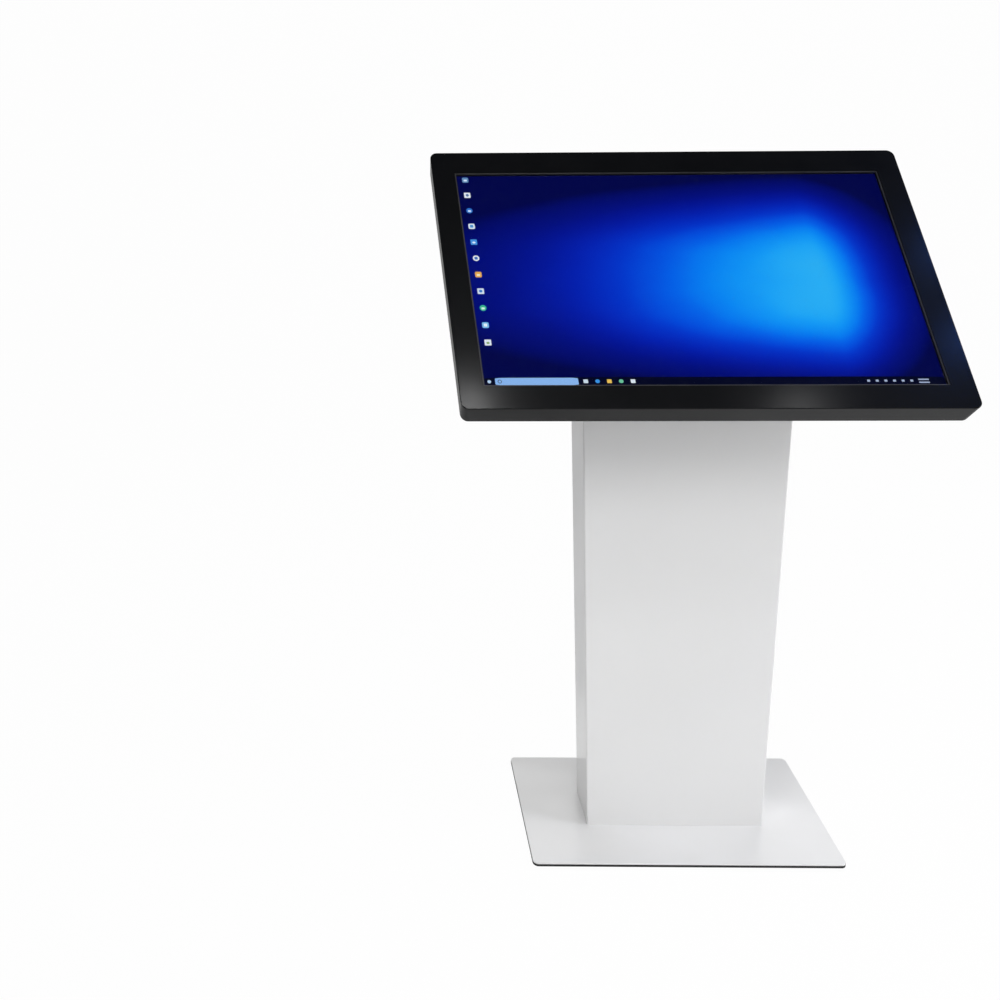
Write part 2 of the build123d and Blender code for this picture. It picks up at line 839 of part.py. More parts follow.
fan_at = (0.32 * head_w, 0.24 * head_h)
fan_size = 60.0
fan_t = 15.0
fan_bore_r = 28.0
speaker_w = 110.0
speaker_h = 50.0
speaker_t = 18.0
speaker_points = {"left_speaker": (-0.38 * head_w, -0.31 * head_h),
                  "right_speaker": (0.38 * head_w, -0.31 * head_h)}

with BuildPart() as rear_cover:
    with BuildSketch(head_back):
        RectangleRounded(head_w - 1.0, head_h - 1.0, head_corner_r - 0.5)
        with Locations(*cover_hole_points):
            Circle(cover_screw_r + screw_clear, mode=Mode.SUBTRACT)
        with Locations(*head_bolt_points):
            Circle(head_bolt_r + screw_clear, mode=Mode.SUBTRACT)
        with Locations((0, lead_v)):
            RectangleRounded(lead_hole_w, lead_hole_h, 6, mode=Mode.SUBTRACT)
        for radius, count in ((8, 6), (14, 12), (20, 18), (26, 24)):
            with Locations(fan_at):
                with PolarLocations(radius, count):
                    Circle(1.9, mode=Mode.SUBTRACT)
        with Locations((-fan_at[0], fan_at[1])):
            with GridLocations(9, 0, 14, 1):
                SlotOverall(50, vent_slot, rotation=90, mode=Mode.SUBTRACT)
        for centre in speaker_points.values():
            with Locations(centre):
                with GridLocations(8, 8, 10, 4):
                    Circle(1.6, mode=Mode.SUBTRACT)
    extrude(amount=cover_t)
save(rear_cover.part, "rear_cover")

back_up = Plane(origin=head_back.origin, x_dir=(-1, 0, 0), z_dir=-head_back.z_dir)
save(
    dome_screws(
        back_up,
        [(-x, y) for x, y in cover_hole_points],
        cover_screw_r,
        cover_t + sheet_t + 2.0,
        3.8,
        2.0,
    ),
    "rear_cover_screws",
)

with BuildPart() as mounting_tray:
    with BuildSketch(face.offset(-tray_at - tray_t)):
        RectangleRounded(column_w - 6, head_h - 8, 4)
        with Locations(*head_bolt_points):
            Circle(head_bolt_r + screw_clear, mode=Mode.SUBTRACT)
        with Locations((0, lead_v)):
            RectangleRounded(lead_hole_w + 10, lead_hole_h + 6, 6, mode=Mode.SUBTRACT)
        with Locations(*tray_points):
            Circle(2.0 + running, mode=Mode.SUBTRACT)
        with Locations(*[p for p in cover_hole_points if abs(p[0]) < column_w / 2]):
            Circle(cover_screw_r + screw_clear, mode=Mode.SUBTRACT)
    extrude(amount=tray_t)
save(mounting_tray.part, "mounting_tray")
tray_face = face.offset(-tray_at)
save(
    dome_screws(tray_face, tray_points, 2.0, tray_t + sheet_t, 3.8, 2.2),
    "mounting_tray_screws",
)

with BuildPart() as mount_spacers:
    with BuildSketch(face.offset(-cover_at)):
        with Locations(*head_bolt_points):
            Circle(10.0)
            Circle(head_bolt_r + screw_clear, mode=Mode.SUBTRACT)
    extrude(amount=sheet_t)
save(mount_spacers.part, "mount_spacers")

bolt_seat = Plane(
    origin=head_back.offset(-top_plate_t).origin, x_dir=(-1, 0, 0), z_dir=-head_back.z_dir
)
save(
    dome_screws(
        bolt_seat,
        [(-x, y) for x, y in head_bolt_points],
        head_bolt_r,
        top_plate_t + cover_t + sheet_t + tray_t + 7.5,
        7.0,
        4.4,
    ),
    "head_bolts",
)
save(
    hex_nuts(tray_face, head_bolt_points, 13.0, head_bolt_r + running, 6.5),
    "head_nuts",
)

# The rubber bung of the lead hole fits the top plate and grips the two cables
with BuildPart() as lead_grommet:
    with BuildSketch(head_back):
        with Locations((0, lead_v)):
            RectangleRounded(lead_hole_w - 0.6, lead_hole_h - 0.6, 5.7)
    extrude(amount=-top_plate_t)
    with BuildSketch(head_back.offset(-top_plate_t)):
        with Locations((0, lead_v)):
            RectangleRounded(lead_hole_w + 6, lead_hole_h + 2, 7)
    extrude(amount=-2.0)
    with BuildSketch(head_back):
        with Locations((cable_x, lead_v), (-cable_x, lead_v)):
            Circle(cable_r + seat)
    extrude(amount=-top_plate_t - 2.0, mode=Mode.SUBTRACT)
save(lead_grommet.part, "lead_grommet")

# ==== Head: touch frame, glass and display =====================================
with BuildPart() as touch_frame:
    with BuildSketch(face.offset(-sheet_t)):
        with Locations((0, screen_v)):
            ring(display_w + 22, display_h + 22, display_w + 2, display_h + 2)
    extrude(amount=-touch_t)
save(touch_frame.part, "touch_frame")

with BuildPart() as touch_glass:
    with BuildSketch(face.offset(-glass_at)):
        with Locations((0, screen_v)):
            RectangleRounded(display_w + 18, display_h + 18, 3)
    extrude(amount=-glass_t)
save(touch_glass.part, "touch_glass")

with BuildPart() as screen_gasket:
    with BuildSketch(face.offset(-gasket_at)):
        with Locations((0, screen_v)):
            ring(display_w + 14, display_h + 14, display_w + 4, display_h + 4)
    extrude(amount=-gasket_t)
save(screen_gasket.part, "screen_gasket")

module_w = display_w + 16
module_h = display_h + 16
cell_t = 2.0
with BuildPart() as lcd_backlight:
    with BuildSketch(face.offset(-module_at)):
        with Locations((0, screen_v)):
            Rectangle(module_w, module_h)
    extrude(amount=-module_t)
    with BuildSketch(face.offset(-module_at)):
        with Locations((0, screen_v)):
            Rectangle(display_w + 4.4, display_h + 4.4)
    extrude(amount=-cell_t, mode=Mode.SUBTRACT)
save(lcd_backlight.part, "lcd_backlight")

with BuildPart() as lcd_cell:
    with BuildSketch(face.offset(-module_at)):
        with Locations((0, screen_v)):
            Rectangle(display_w + 4, display_h + 4)
    extrude(amount=-cell_t)
save(lcd_cell.part, "lcd_cell")

bracket_h = 0.9 * display_h
bracket_wall_x = (display_w + 22) / 2 + 1.5
bracket_foot_w = head_w / 2 - 8 - bracket_wall_x
bracket_lip = 22.0
with BuildPart() as panel_brackets:
    for side in (-1, 1):
        with BuildSketch(face.offset(-sheet_t)):
            with Locations((side * (bracket_wall_x + bracket_foot_w / 2), screen_v)):
                Rectangle(bracket_foot_w, bracket_h)
            with Locations(
                *[(x, y + screen_v) for x, y in stud_points if x * side > 0]
            ):
                Circle(stud_r + screw_clear, mode=Mode.SUBTRACT)
        extrude(amount=-sheet_t)
        with BuildSketch(face.offset(-sheet_t)):
            with Locations((side * (bracket_wall_x + sheet_t / 2), screen_v)):
                Rectangle(sheet_t, bracket_h)
        extrude(amount=-module_back)
        with BuildSketch(face.offset(-module_back)):
            with Locations(
                (side * (bracket_wall_x + sheet_t - bracket_lip / 2), screen_v)
            ):
                Rectangle(bracket_lip, bracket_h)
        extrude(amount=-sheet_t)
save(panel_brackets.part, "panel_brackets")

nut_plane = Plane(
    origin=face.offset(-2 * sheet_t).origin, x_dir=(-1, 0, 0), z_dir=-face.z_dir
)
save(
    hex_nuts(
        nut_plane,
        [(-x, y + screen_v) for x, y in stud_points],
        7.0,
        stud_r + running,
        3.2,
    ),
    "bracket_nuts",
)

# ==== Head: boards, speakers and fan ===========================================
standoff_t = 7.0
tray_board_t = 1.6
board_w = 100.0
board_h = 100.0
board_v = lead_v + 10.0
board_centre_x = tail_x + board_w / 2
connector_d = 10.0
boards = {"display_driver_board": 1, "display_power_board": -1}

with BuildPart() as board_standoffs:
    with BuildSketch(tray_face):
        for side in boards.values():
            with Locations((side * board_centre_x, board_v)):
                with GridLocations(board_w - 14, board_h - 14, 2, 2):
                    RegularPolygon(3.0, 6)
    extrude(amount=standoff_t)
save(board_standoffs.part, "board_standoffs")

for name, side in boards.items():
    with BuildPart() as board:
        with BuildSketch(tray_face.offset(standoff_t)):
            with Locations((side * board_centre_x, board_v)):
                Rectangle(board_w, board_h)
        extrude(amount=tray_board_t)
        with BuildSketch(tray_face.offset(standoff_t + tray_board_t)):
            with Locations((side * (board_centre_x + 15), board_v + 5)):
                Rectangle(40, 40)
        extrude(amount=6.0 if side > 0 else 9.0)
        with BuildSketch(tray_face.offset(standoff_t)):
            with Locations((side * (tail_x + 7), lead_v)):
                Rectangle(14, 16)
        extrude(amount=connector_d)
        with BuildSketch(tray_face.offset(standoff_t)):
            with Locations((side * (tail_x + 7), lead_v)):
                Rectangle(14, 12)
        extrude(amount=-1.5)
    save(board.part, name)

with BuildPart() as touch_controller:
    with BuildSketch(tray_face):
        with Locations((0, 0.3 * head_h)):
            with GridLocations(70, 20, 2, 2):
                Circle(2.5)
    extrude(amount=standoff_t)
    with BuildSketch(tray_face.offset(standoff_t)):
        with Locations((0, 0.3 * head_h)):
            Rectangle(80, 30)
    extrude(amount=tray_board_t)
save(touch_controller.part, "touch_controller")

inside_cover = face.offset(-cover_at)
for name, centre in speaker_points.items():
    with BuildPart() as speaker:
        with BuildSketch(inside_cover):
            with Locations(centre):
                RectangleRounded(speaker_w, speaker_h, 4)
        extrude(amount=speaker_t)
    save(speaker.part, name)

fan_hub_r = 13.0
axle_r = 1.5
with BuildPart() as fan_frame:
    with BuildSketch(inside_cover):
        with Locations(fan_at):
            RectangleRounded(fan_size, fan_size, 4)
            Circle(fan_bore_r, mode=Mode.SUBTRACT)
    extrude(amount=fan_t)
    with BuildSketch(inside_cover.offset(fan_t - 2.5)):
        with Locations(fan_at):
            Circle(fan_hub_r)
            with PolarLocations((fan_bore_r + fan_hub_r) / 2, 3):
                Rectangle(fan_bore_r - fan_hub_r + 3, 3)
    extrude(amount=2.5)
    with BuildSketch(inside_cover.offset(fan_t - 2.5)):
        with Locations(fan_at):
            Circle(axle_r + running)
    extrude(amount=2.5, mode=Mode.SUBTRACT)
save(fan_frame.part, "fan_frame")

blade_count = 7
blade_span = fan_bore_r - fan_hub_r - 1.0
with BuildPart() as fan_rotor:
    with BuildSketch(inside_cover.offset(1.0)):
        with Locations(fan_at):
            Circle(fan_hub_r)
    extrude(amount=fan_t - 4.0)
    for i in range(blade_count):
        angle = math.radians(360 * i / blade_count)
        out = Vector(math.cos(angle), math.sin(angle))
        root = inside_cover.from_local_coords(
            Vector(fan_at[0] + out.X * (fan_hub_r - 1.5),
                   fan_at[1] + out.Y * (fan_hub_r - 1.5), 1.0 + (fan_t - 4.0) / 2)
        )
        outward = (
            inside_cover.x_dir * out.X + inside_cover.y_dir * out.Y
        )
        across = inside_cover.z_dir.cross(outward)
        pitch = math.radians(35)
        chord = across * math.cos(pitch) + inside_cover.z_dir * math.sin(pitch)
        with BuildSketch(Plane(origin=root, x_dir=chord, z_dir=outward)):
            Rectangle(13.0, 1.2)
        extrude(amount=blade_span + 1.5)
    with BuildSketch(inside_cover.offset(fan_t - 3.0)):
        with Locations(fan_at):
            Circle(axle_r)
    extrude(amount=2.6)
save(fan_rotor.part, "fan_rotor")
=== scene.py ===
"""Looks of a free-standing touchscreen kiosk: a white folded column and a tilted black head.

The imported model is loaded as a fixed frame. Everything here is in metres in that frame:
+Z up, the front of the kiosk towards -Y, the origin on the floor under the base.
"""

import json
import logging
import math
from dataclasses import dataclass, field
from enum import Enum
from typing import Iterable, Sequence

import bpy
import numpy as np
from mathutils import Matrix, Vector

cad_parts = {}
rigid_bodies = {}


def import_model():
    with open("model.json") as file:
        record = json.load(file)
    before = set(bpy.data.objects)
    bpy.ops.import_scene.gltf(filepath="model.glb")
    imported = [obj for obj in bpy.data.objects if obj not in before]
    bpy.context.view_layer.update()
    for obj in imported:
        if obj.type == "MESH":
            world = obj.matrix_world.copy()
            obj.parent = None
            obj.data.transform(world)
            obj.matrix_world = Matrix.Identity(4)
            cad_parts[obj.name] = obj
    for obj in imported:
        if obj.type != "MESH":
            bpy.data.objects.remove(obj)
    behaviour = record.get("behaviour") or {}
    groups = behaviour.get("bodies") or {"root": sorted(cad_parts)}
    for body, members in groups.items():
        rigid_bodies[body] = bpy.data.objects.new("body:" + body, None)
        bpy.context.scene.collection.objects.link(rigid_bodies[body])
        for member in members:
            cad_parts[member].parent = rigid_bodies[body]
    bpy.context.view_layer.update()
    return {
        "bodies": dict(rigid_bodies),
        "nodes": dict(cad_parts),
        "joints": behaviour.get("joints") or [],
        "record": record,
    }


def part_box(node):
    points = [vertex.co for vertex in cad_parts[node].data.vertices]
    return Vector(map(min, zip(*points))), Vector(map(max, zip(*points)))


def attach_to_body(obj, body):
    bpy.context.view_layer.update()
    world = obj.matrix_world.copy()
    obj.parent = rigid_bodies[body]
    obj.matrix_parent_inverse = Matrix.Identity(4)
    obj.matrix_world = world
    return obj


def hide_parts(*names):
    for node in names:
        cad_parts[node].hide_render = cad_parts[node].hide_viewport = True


LOG = logging.getLogger("kiosk")
MM = 0.001

Colour = tuple[float, float, float]
Array = np.ndarray
Tree = bpy.types.NodeTree
Socket = bpy.types.NodeSocket


# ---- Colour and mesh helpers --------------------------------------------------


def srgb(red: float, green: float, blue: float) -> Colour:
    """Turn display values of 0 to 255 into the linear colour that shaders take.

    Args:
        red: red value as it reads on a display.
        green: green value.
        blue: blue value.

    Returns:
        The linear colour, each part from 0 to 1.
    """
    parts = np.array([red, green, blue]) / 255.0
    linear = np.where(parts <= 0.04045, parts / 12.92, ((parts + 0.055) / 1.055) ** 2.4)
    return tuple(float(p) for p in linear)


def grid_faces(rows: int, columns: int, closed: bool = False) -> Array:
    """Quads that join a grid of points numbered row by row.

    Args:
        rows: number of rows of points.
        columns: number of points in a row.
        closed: True joins each row on itself, and the last row to the first.

    Returns:
        One row of four point numbers for each quad.
    """
    gap = 0 if closed else 1
    row = np.arange(rows - gap)[:, None]
    column = np.arange(columns - gap)[None, :]
    next_row = (row + 1) % rows
    next_column = (column + 1) % columns
    corners = [(row, column), (row, next_column), (next_row, next_column), (next_row, column)]
    return np.stack([r * columns + c for r, c in corners], axis=-1).reshape(-1, 4)


def attach(piece: bpy.types.Object, material: bpy.types.Material, body: str) -> None:
    """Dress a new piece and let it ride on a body.

    Args:
        piece: the new piece.
        material: what it wears.
        body: the body that carries it.
    """
    piece.data.materials.append(material)
    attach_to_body(piece, body)
    LOG.info("%s rides on %s", piece.name, body)


def new_piece(name: str, points: Array, faces: Array, smooth: bool = True) -> bpy.types.Object:
    """Make a mesh object at the origin from arrays of points and faces.

    Args:
        name: the piece's name.
        points: one row of x, y, z for each point.
        faces: one row of point numbers for each face.
        smooth: True shades the faces smoothly.

    Returns:
        The new object, linked to the scene.
    """
    mesh = bpy.data.meshes.new(name)
    mesh.from_pydata(points.reshape(-1, 3).tolist(), [], np.asarray(faces).tolist())
    mesh.polygons.foreach_set("use_smooth", np.full(len(mesh.polygons), smooth))
    mesh.update()
    piece = bpy.data.objects.new(name, mesh)
    bpy.context.scene.collection.objects.link(piece)
    return piece


def write_uv(mesh: bpy.types.Mesh, point_uv: Array) -> None:
    """Give a mesh a UV map whose values are known at its points.

    Args:
        mesh: the mesh to map.
        point_uv: one row of u, v for each point.
    """
    layer = mesh.uv_layers.new(name="UVMap")
    corner_point = np.zeros(len(mesh.loops), dtype=np.int64)
    mesh.loops.foreach_get("vertex_index", corner_point)
    layer.data.foreach_set("uv", point_uv[corner_point].astype(np.float32).ravel())


def write_tint(mesh: bpy.types.Mesh, tints: Array) -> None:
    """Store a colour at each point of a mesh, in the attribute "tint".

    Args:
        mesh: the mesh to colour.
        tints: one row of linear red, green, blue for each point.
    """
    layer = mesh.color_attributes.new(name="tint", type="FLOAT_COLOR", domain="POINT")
    rgba = np.concatenate([tints, np.ones((len(tints), 1))], axis=1)
    layer.data.foreach_set("color", rgba.astype(np.float32).ravel())


@dataclass(frozen=True)
class TiltedPlane:
    """A flat frame of reference: x across, up the slope, and out of the surface."""

    origin: Vector
    across: Vector
    upward: Vector
    outward: Vector

    @classmethod
    def of_node(cls, node: bpy.types.Object, outward: Vector) -> "TiltedPlane":
        """Frame at the middle of a flat node's front, facing along outward.

        Args:
            node: the CAD node that gives the place.
            outward: the direction that the surface faces.

        Returns:
            The frame, with its origin on the front surface.
        """
        across = Vector((1.0, 0.0, 0.0))
        out = outward.normalized()
        up = out.cross(across).normalized()
        axes = np.array([across, up, out], dtype=float)
        points = np.zeros(len(node.data.vertices) * 3, dtype=np.float32)
        node.data.vertices.foreach_get("co", points)
        local = points.reshape(-1, 3).astype(float) @ axes.T
        low, high = local.min(axis=0), local.max(axis=0)
        middle = (low + high) / 2
        middle[2] = high[2]
        return cls(Vector(middle @ axes), across, up, out)

    def place(self, local: Array) -> Array:
        """Turn rows of (across, up, out) into rows of x, y, z."""
        axes = np.array([self.across, self.upward, self.outward], dtype=float)
        return np.asarray(self.origin, dtype=float) + local @ axes


# ---- Shader helpers -----------------------------------------------------------


class Wiring:
    """Adds nodes to one node tree and joins them."""

    def __init__(self, tree: Tree) -> None:
        """Start in a tree that may already hold nodes."""
        self.tree = tree

    def add(self, kind: str, **settings: object) -> bpy.types.Node:
        """Add a node.

        Args:
            kind: the node's type, such as "ShaderNodeMath".
            settings: properties of the node, by name.

        Returns:
            The new node.
        """
        node = self.tree.nodes.new(kind)
        for key, value in settings.items():
            setattr(node, key, value)
        return node

    def feed(self, target: Socket, source: object) -> None:
        """Join a socket to another one, or set its plain value.

        Args:
            target: the input socket.
            source: another node's socket, or a plain value.
        """
        if isinstance(source, bpy.types.NodeSocket):
            self.tree.links.new(source, target)
        else:
            target.default_value = source

    def math(self, operation: str, *values: object, clamp: bool = False) -> Socket:
        """Add a math node.

        Args:
            operation: the node's operation.
            values: numbers or sockets, in order.
            clamp: True holds the result between 0 and 1.

        Returns:
            The result's socket.
        """
        node = self.add("ShaderNodeMath", operation=operation, use_clamp=clamp)
        for socket, value in zip(node.inputs, values):
            self.feed(socket, value)
        return node.outputs[0]

    def span(self, value: object, low: float, high: float, to_low: object, to_high: object) -> Socket:
        """Map a value from one range to another, held within it.

        Args:
            value: number or socket.
            low: value that gives to_low.
            high: value that gives to_high.
            to_low: result at the low end.
            to_high: result at the high end.

        Returns:
            The result's socket.
        """
        node = self.add("ShaderNodeMapRange")
        for socket, item in zip(node.inputs, (value, low, high, to_low, to_high)):
            self.feed(socket, item)
        return node.outputs[0]

    def mix(self, share: object, first: object, second: object, blend: str = "MIX") -> Socket:
        """Mix two colours.

        Args:
            share: how much of the second, from 0 to 1.
            first: colour or socket.
            second: colour or socket.
            blend: the way of mixing.

        Returns:
            The colour's socket.
        """
        node = self.add("ShaderNodeMix", data_type="RGBA", blend_type=blend)
        self.feed(node.inputs[0], share)
        for socket, item in ((node.inputs[6], first), (node.inputs[7], second)):
            self.feed(socket, (*item, 1.0) if isinstance(item, tuple) and len(item) == 3 else item)
        return node.outputs[2]

    def noise(self, vector: object, scale: object, detail: float = 2.0, rough: float = 0.5) -> Socket:
        """Smooth noise at each point.

        Args:
            vector: socket of the point.
            scale: waves to the metre.
            detail: number of finer layers.
            rough: strength of the finer layers.

        Returns:
            The noise value's socket.
        """
        node = self.add("ShaderNodeTexNoise")
        self.feed(node.inputs["Vector"], vector)
        self.feed(node.inputs["Scale"], scale)
        node.inputs["Detail"].default_value = detail
        node.inputs["Roughness"].default_value = rough
        return node.outputs[0]

    def object_point(self) -> Socket:
        """The point in the object's own coordinates, which are the frame's."""
        return self.add("ShaderNodeTexCoord").outputs["Object"]

    def stretched(
        self, vector: Socket, scale: Sequence[float], turn: Sequence[float] = (0, 0, 0)
    ) -> Socket:
        """Stretch a point's coordinates, so that noise becomes streaks.

        Args:
            vector: socket of the point.
            scale: factor along each axis.
            turn: turn about each axis before the stretch, in radians.

        Returns:
            The stretched point's socket.
        """
        node = self.add("ShaderNodeMapping")
        self.feed(node.inputs["Vector"], vector)
        node.inputs["Rotation"].default_value = tuple(turn)
        node.inputs["Scale"].default_value = tuple(scale)
        return node.outputs[0]

    def group(self, tree: Tree, **values: object) -> bpy.types.Node:
        """Place a node group and set its inputs.

        Args:
            tree: the group.
            values: numbers, colours or sockets by input name, spaces as underscores.

        Returns:
            The group's node.
        """
        node = self.add("ShaderNodeGroup")
        node.node_tree = tree
        for name, value in values.items():
            self.feed(node.inputs[name.replace("_", " ")], value)
        return node


def start_group(
    name: str, inputs: dict[str, float], outputs: dict[str, str]
) -> tuple[Wiring, bpy.types.Node, bpy.types.Node]:
    """Start a shader node group.

    Args:
        name: the group's name.
        inputs: default of each number input, by name.
        outputs: "Float" or "Color" for each output, by name.

    Returns:
        The wiring, the group's input node and its output node.
    """
    tree = bpy.data.node_groups.new(name, "ShaderNodeTree")
    for label, default in inputs.items():
        socket = tree.interface.new_socket(name=label, in_out="INPUT", socket_type="NodeSocketFloat")
        socket.default_value = default
    for label, kind in outputs.items():
        tree.interface.new_socket(name=label, in_out="OUTPUT", socket_type=f"NodeSocket{kind}")
    wiring = Wiring(tree)
    return wiring, wiring.add("NodeGroupInput"), wiring.add("NodeGroupOutput")


class Effects:
    """The surface effects that several materials share, each a node group built once."""

    FACING_UP = (0.3, 0.95)
    DUST_PATCHES = (0.35, 0.72)
    LINE_RIDGES = (0.66, 0.70)

    def __init__(self) -> None:
        """Build every group."""
        self.coat_texture = self._coat_texture()
        self.dust = self._dust()
        self.hairlines = self._hairlines()
        self.grain = self._grain()
        self.streaks = self._streaks()
        self.spangle = self._spangle()

    @staticmethod
    def _coat_texture() -> Tree:
        """Powder coat: long low waves with a fine pebble on them, and a slow drift of tone.

        Returns:
            The node group.
        """
        w, inp, out = start_group(
            "coat_texture",
            {"Wave Scale": 90.0, "Pebble Scale": 900.0, "Pebble Share": 0.35},
            {"Height": "Float", "Drift": "Float"},
        )
        point = w.object_point()
        wave = w.noise(point, inp.outputs["Wave Scale"], 1.0)
        pebble = w.noise(point, inp.outputs["Pebble Scale"], 1.0)
        fine = w.math("MULTIPLY", pebble, inp.outputs["Pebble Share"])
        w.feed(out.inputs["Height"], w.math("ADD", wave, fine))
        w.feed(out.inputs["Drift"], w.noise(point, 2.2, 3.0, 0.45))
        return w.tree

    def _dust(self) -> Tree:
        """Thin dust that gathers on faces that look up, in soft patches.

        Returns:
            The node group.
        """
        w, inp, out = start_group(
            "settled_dust",
            {"Amount": 0.2, "Patch Scale": 14.0},
            {"Mask": "Float"},
        )
        normal = w.add("ShaderNodeNewGeometry").outputs["Normal"]
        split = w.add("ShaderNodeSeparateXYZ")
        w.feed(split.inputs[0], normal)
        facing = w.span(split.outputs["Z"], *self.FACING_UP, 0.0, 1.0)
        patches = w.noise(w.object_point(), inp.outputs["Patch Scale"], 6.0, 0.65)
        spread = w.span(patches, *self.DUST_PATCHES, 0.15, 1.0)
        amount = w.math("MULTIPLY", facing, inp.outputs["Amount"])
        w.feed(out.inputs["Mask"], w.math("MULTIPLY", amount, spread, clamp=True))
        return w.tree

    def _hairlines(self) -> Tree:
        """Sparse fine wiping lines: the ridges of strongly stretched noise.

        Returns:
            The node group.
        """
        w, inp, out = start_group(
            "wiping_hairlines",
            {"Scale": 30.0, "Amount": 0.5},
            {"Mask": "Float"},
        )
        point = w.object_point()
        lines = []
        for stretch, turn in (((1.0, 1.0, 14.0), (0.3, 0.2, 0.5)), ((12.0, 1.0, 1.0), (0.1, 0.6, 0.2))):
            ridges = w.noise(w.stretched(point, stretch, turn), inp.outputs["Scale"], 2.0)
            lines.append(w.span(ridges, *self.LINE_RIDGES, 0.0, 1.0))
        both = w.math("MAXIMUM", *lines)
        w.feed(out.inputs["Mask"], w.math("MULTIPLY", both, inp.outputs["Amount"], clamp=True))
        return w.tree

    @staticmethod
    def _grain() -> Tree:
        """Moulded grain: small rounded cells of two sizes, and a slow drift.

        Returns:
            The node group.
        """
        w, inp, out = start_group(
            "moulded_grain",
            {"Scale": 1200.0},
            {"Height": "Float", "Drift": "Float"},
        )
        point = w.object_point()
        cells = w.add("ShaderNodeTexVoronoi", feature="SMOOTH_F1")
        w.feed(cells.inputs["Vector"], point)
        w.feed(cells.inputs["Scale"], inp.outputs["Scale"])
        fine = w.noise(point, w.math("MULTIPLY", inp.outputs["Scale"], 2.1), 1.0)
        pebble = w.math("MULTIPLY", fine, 0.4)
        w.feed(out.inputs["Height"], w.math("ADD", cells.outputs["Distance"], pebble))
        w.feed(out.inputs["Drift"], w.noise(point, 6.0, 3.0))
        return w.tree

    @staticmethod
    def _streaks() -> Tree:
        """Drawn or turned metal: noise drawn out sixtyfold along X, and a drift of tone.

        Returns:
            The node group.
        """
        w, inp, out = start_group(
            "drawn_streaks",
            {"Scale": 12.0},
            {"Height": "Float", "Tone": "Float"},
        )
        point = w.object_point()
        long = w.stretched(point, (1.0, 60.0, 60.0))
        streak = w.noise(long, inp.outputs["Scale"], 3.0, 0.7)
        w.feed(out.inputs["Height"], streak)
        w.feed(out.inputs["Tone"], w.noise(point, 25.0, 4.0, 0.6))
        return w.tree

    @staticmethod
    def _spangle() -> Tree:
        """Galvanised sheet: flat crystals of the zinc, each with its own brightness.

        Returns:
            The node group.
        """
        w, inp, out = start_group(
            "zinc_spangle",
            {"Scale": 110.0},
            {"Tone": "Float", "Edge": "Float"},
        )
        point = w.object_point()
        bend = w.noise(point, 60.0, 2.0)
        warped = w.add("ShaderNodeVectorMath", operation="ADD")
        w.feed(warped.inputs[0], point)
        shifted = w.add("ShaderNodeCombineXYZ")
        w.feed(shifted.inputs["X"], w.math("MULTIPLY", bend, 0.01))
        w.feed(warped.inputs[1], shifted.outputs[0])
        cells = w.add("ShaderNodeTexVoronoi")
        w.feed(cells.inputs["Vector"], warped.outputs[0])
        w.feed(cells.inputs["Scale"], inp.outputs["Scale"])
        parts = w.add("ShaderNodeSeparateColor")
        w.feed(parts.inputs[0], cells.outputs["Color"])
        w.feed(out.inputs["Tone"], parts.outputs[0])
        w.feed(out.inputs["Edge"], cells.outputs["Distance"])
        return w.tree


def start_material(name: str) -> tuple[bpy.types.Material, Wiring, bpy.types.Node]:
    """Start a material with one Principled shader.

    Args:
        name: the material's name.

    Returns:
        The material, its wiring and its shader node.
    """
    material = bpy.data.materials.new(name)
    material.use_nodes = True
    wiring = Wiring(material.node_tree)
    return material, wiring, material.node_tree.nodes["Principled BSDF"]


def add_bump(
    w: Wiring, shader: bpy.types.Node, height: Socket, distance: float, share: float = 1.0
) -> None:
    """Feed a height into the shader's normal.

    Args:
        w: the material's wiring.
        shader: the shader node.
        height: socket of the height, about 0 to 1.
        distance: how tall a height of 1 is, in metres.
        share: share of the effect.
    """
    bump = w.add("ShaderNodeBump")
    bump.inputs["Distance"].default_value = distance
    bump.inputs["Strength"].default_value = share
    w.feed(bump.inputs["Height"], height)
    w.feed(shader.inputs["Normal"], bump.outputs[0])


# ---- Finishes -----------------------------------------------------------------


BLACK: Colour = (0.0, 0.0, 0.0)
WHITE: Colour = (1.0, 1.0, 1.0)
DRIFT_RANGE = (0.3, 0.7)
FIGURE_RANGE = (0.2, 0.8)


def shaded(w: Wiring, colour: Colour, share: Socket) -> Socket:
    """Darken a colour by a share that changes over the surface.

    Args:
        w: the material's wiring.
        colour: the colour where the share is 1.
        share: socket of the share, held between 0 and 1.

    Returns:
        The colour's socket.
    """
    grey = w.mix(share, BLACK, WHITE)
    return w.mix(1.0, colour, grey, "MULTIPLY")


@dataclass(frozen=True)
class SettledDust:
    """How the dust that settles on a finish looks."""

    amount: float
    colour: Colour
    dulling: float

    def lay(self, w: Wiring, shader: bpy.types.Node, effects: Effects, tone: Socket, rough: Socket) -> None:
        """Lay the dust over a finish and feed the result into its shader.

        Args:
            w: the material's wiring.
            shader: the shader node.
            effects: the shared node groups.
            tone: socket of the clean colour.
            rough: socket of the clean roughness.
        """
        mask = w.group(effects.dust, Amount=self.amount).outputs["Mask"]
        w.feed(shader.inputs["Base Color"], w.mix(mask, tone, self.colour))
        dulled = w.math("ADD", rough, w.math("MULTIPLY", mask, self.dulling), clamp=True)
        w.feed(shader.inputs["Roughness"], dulled)


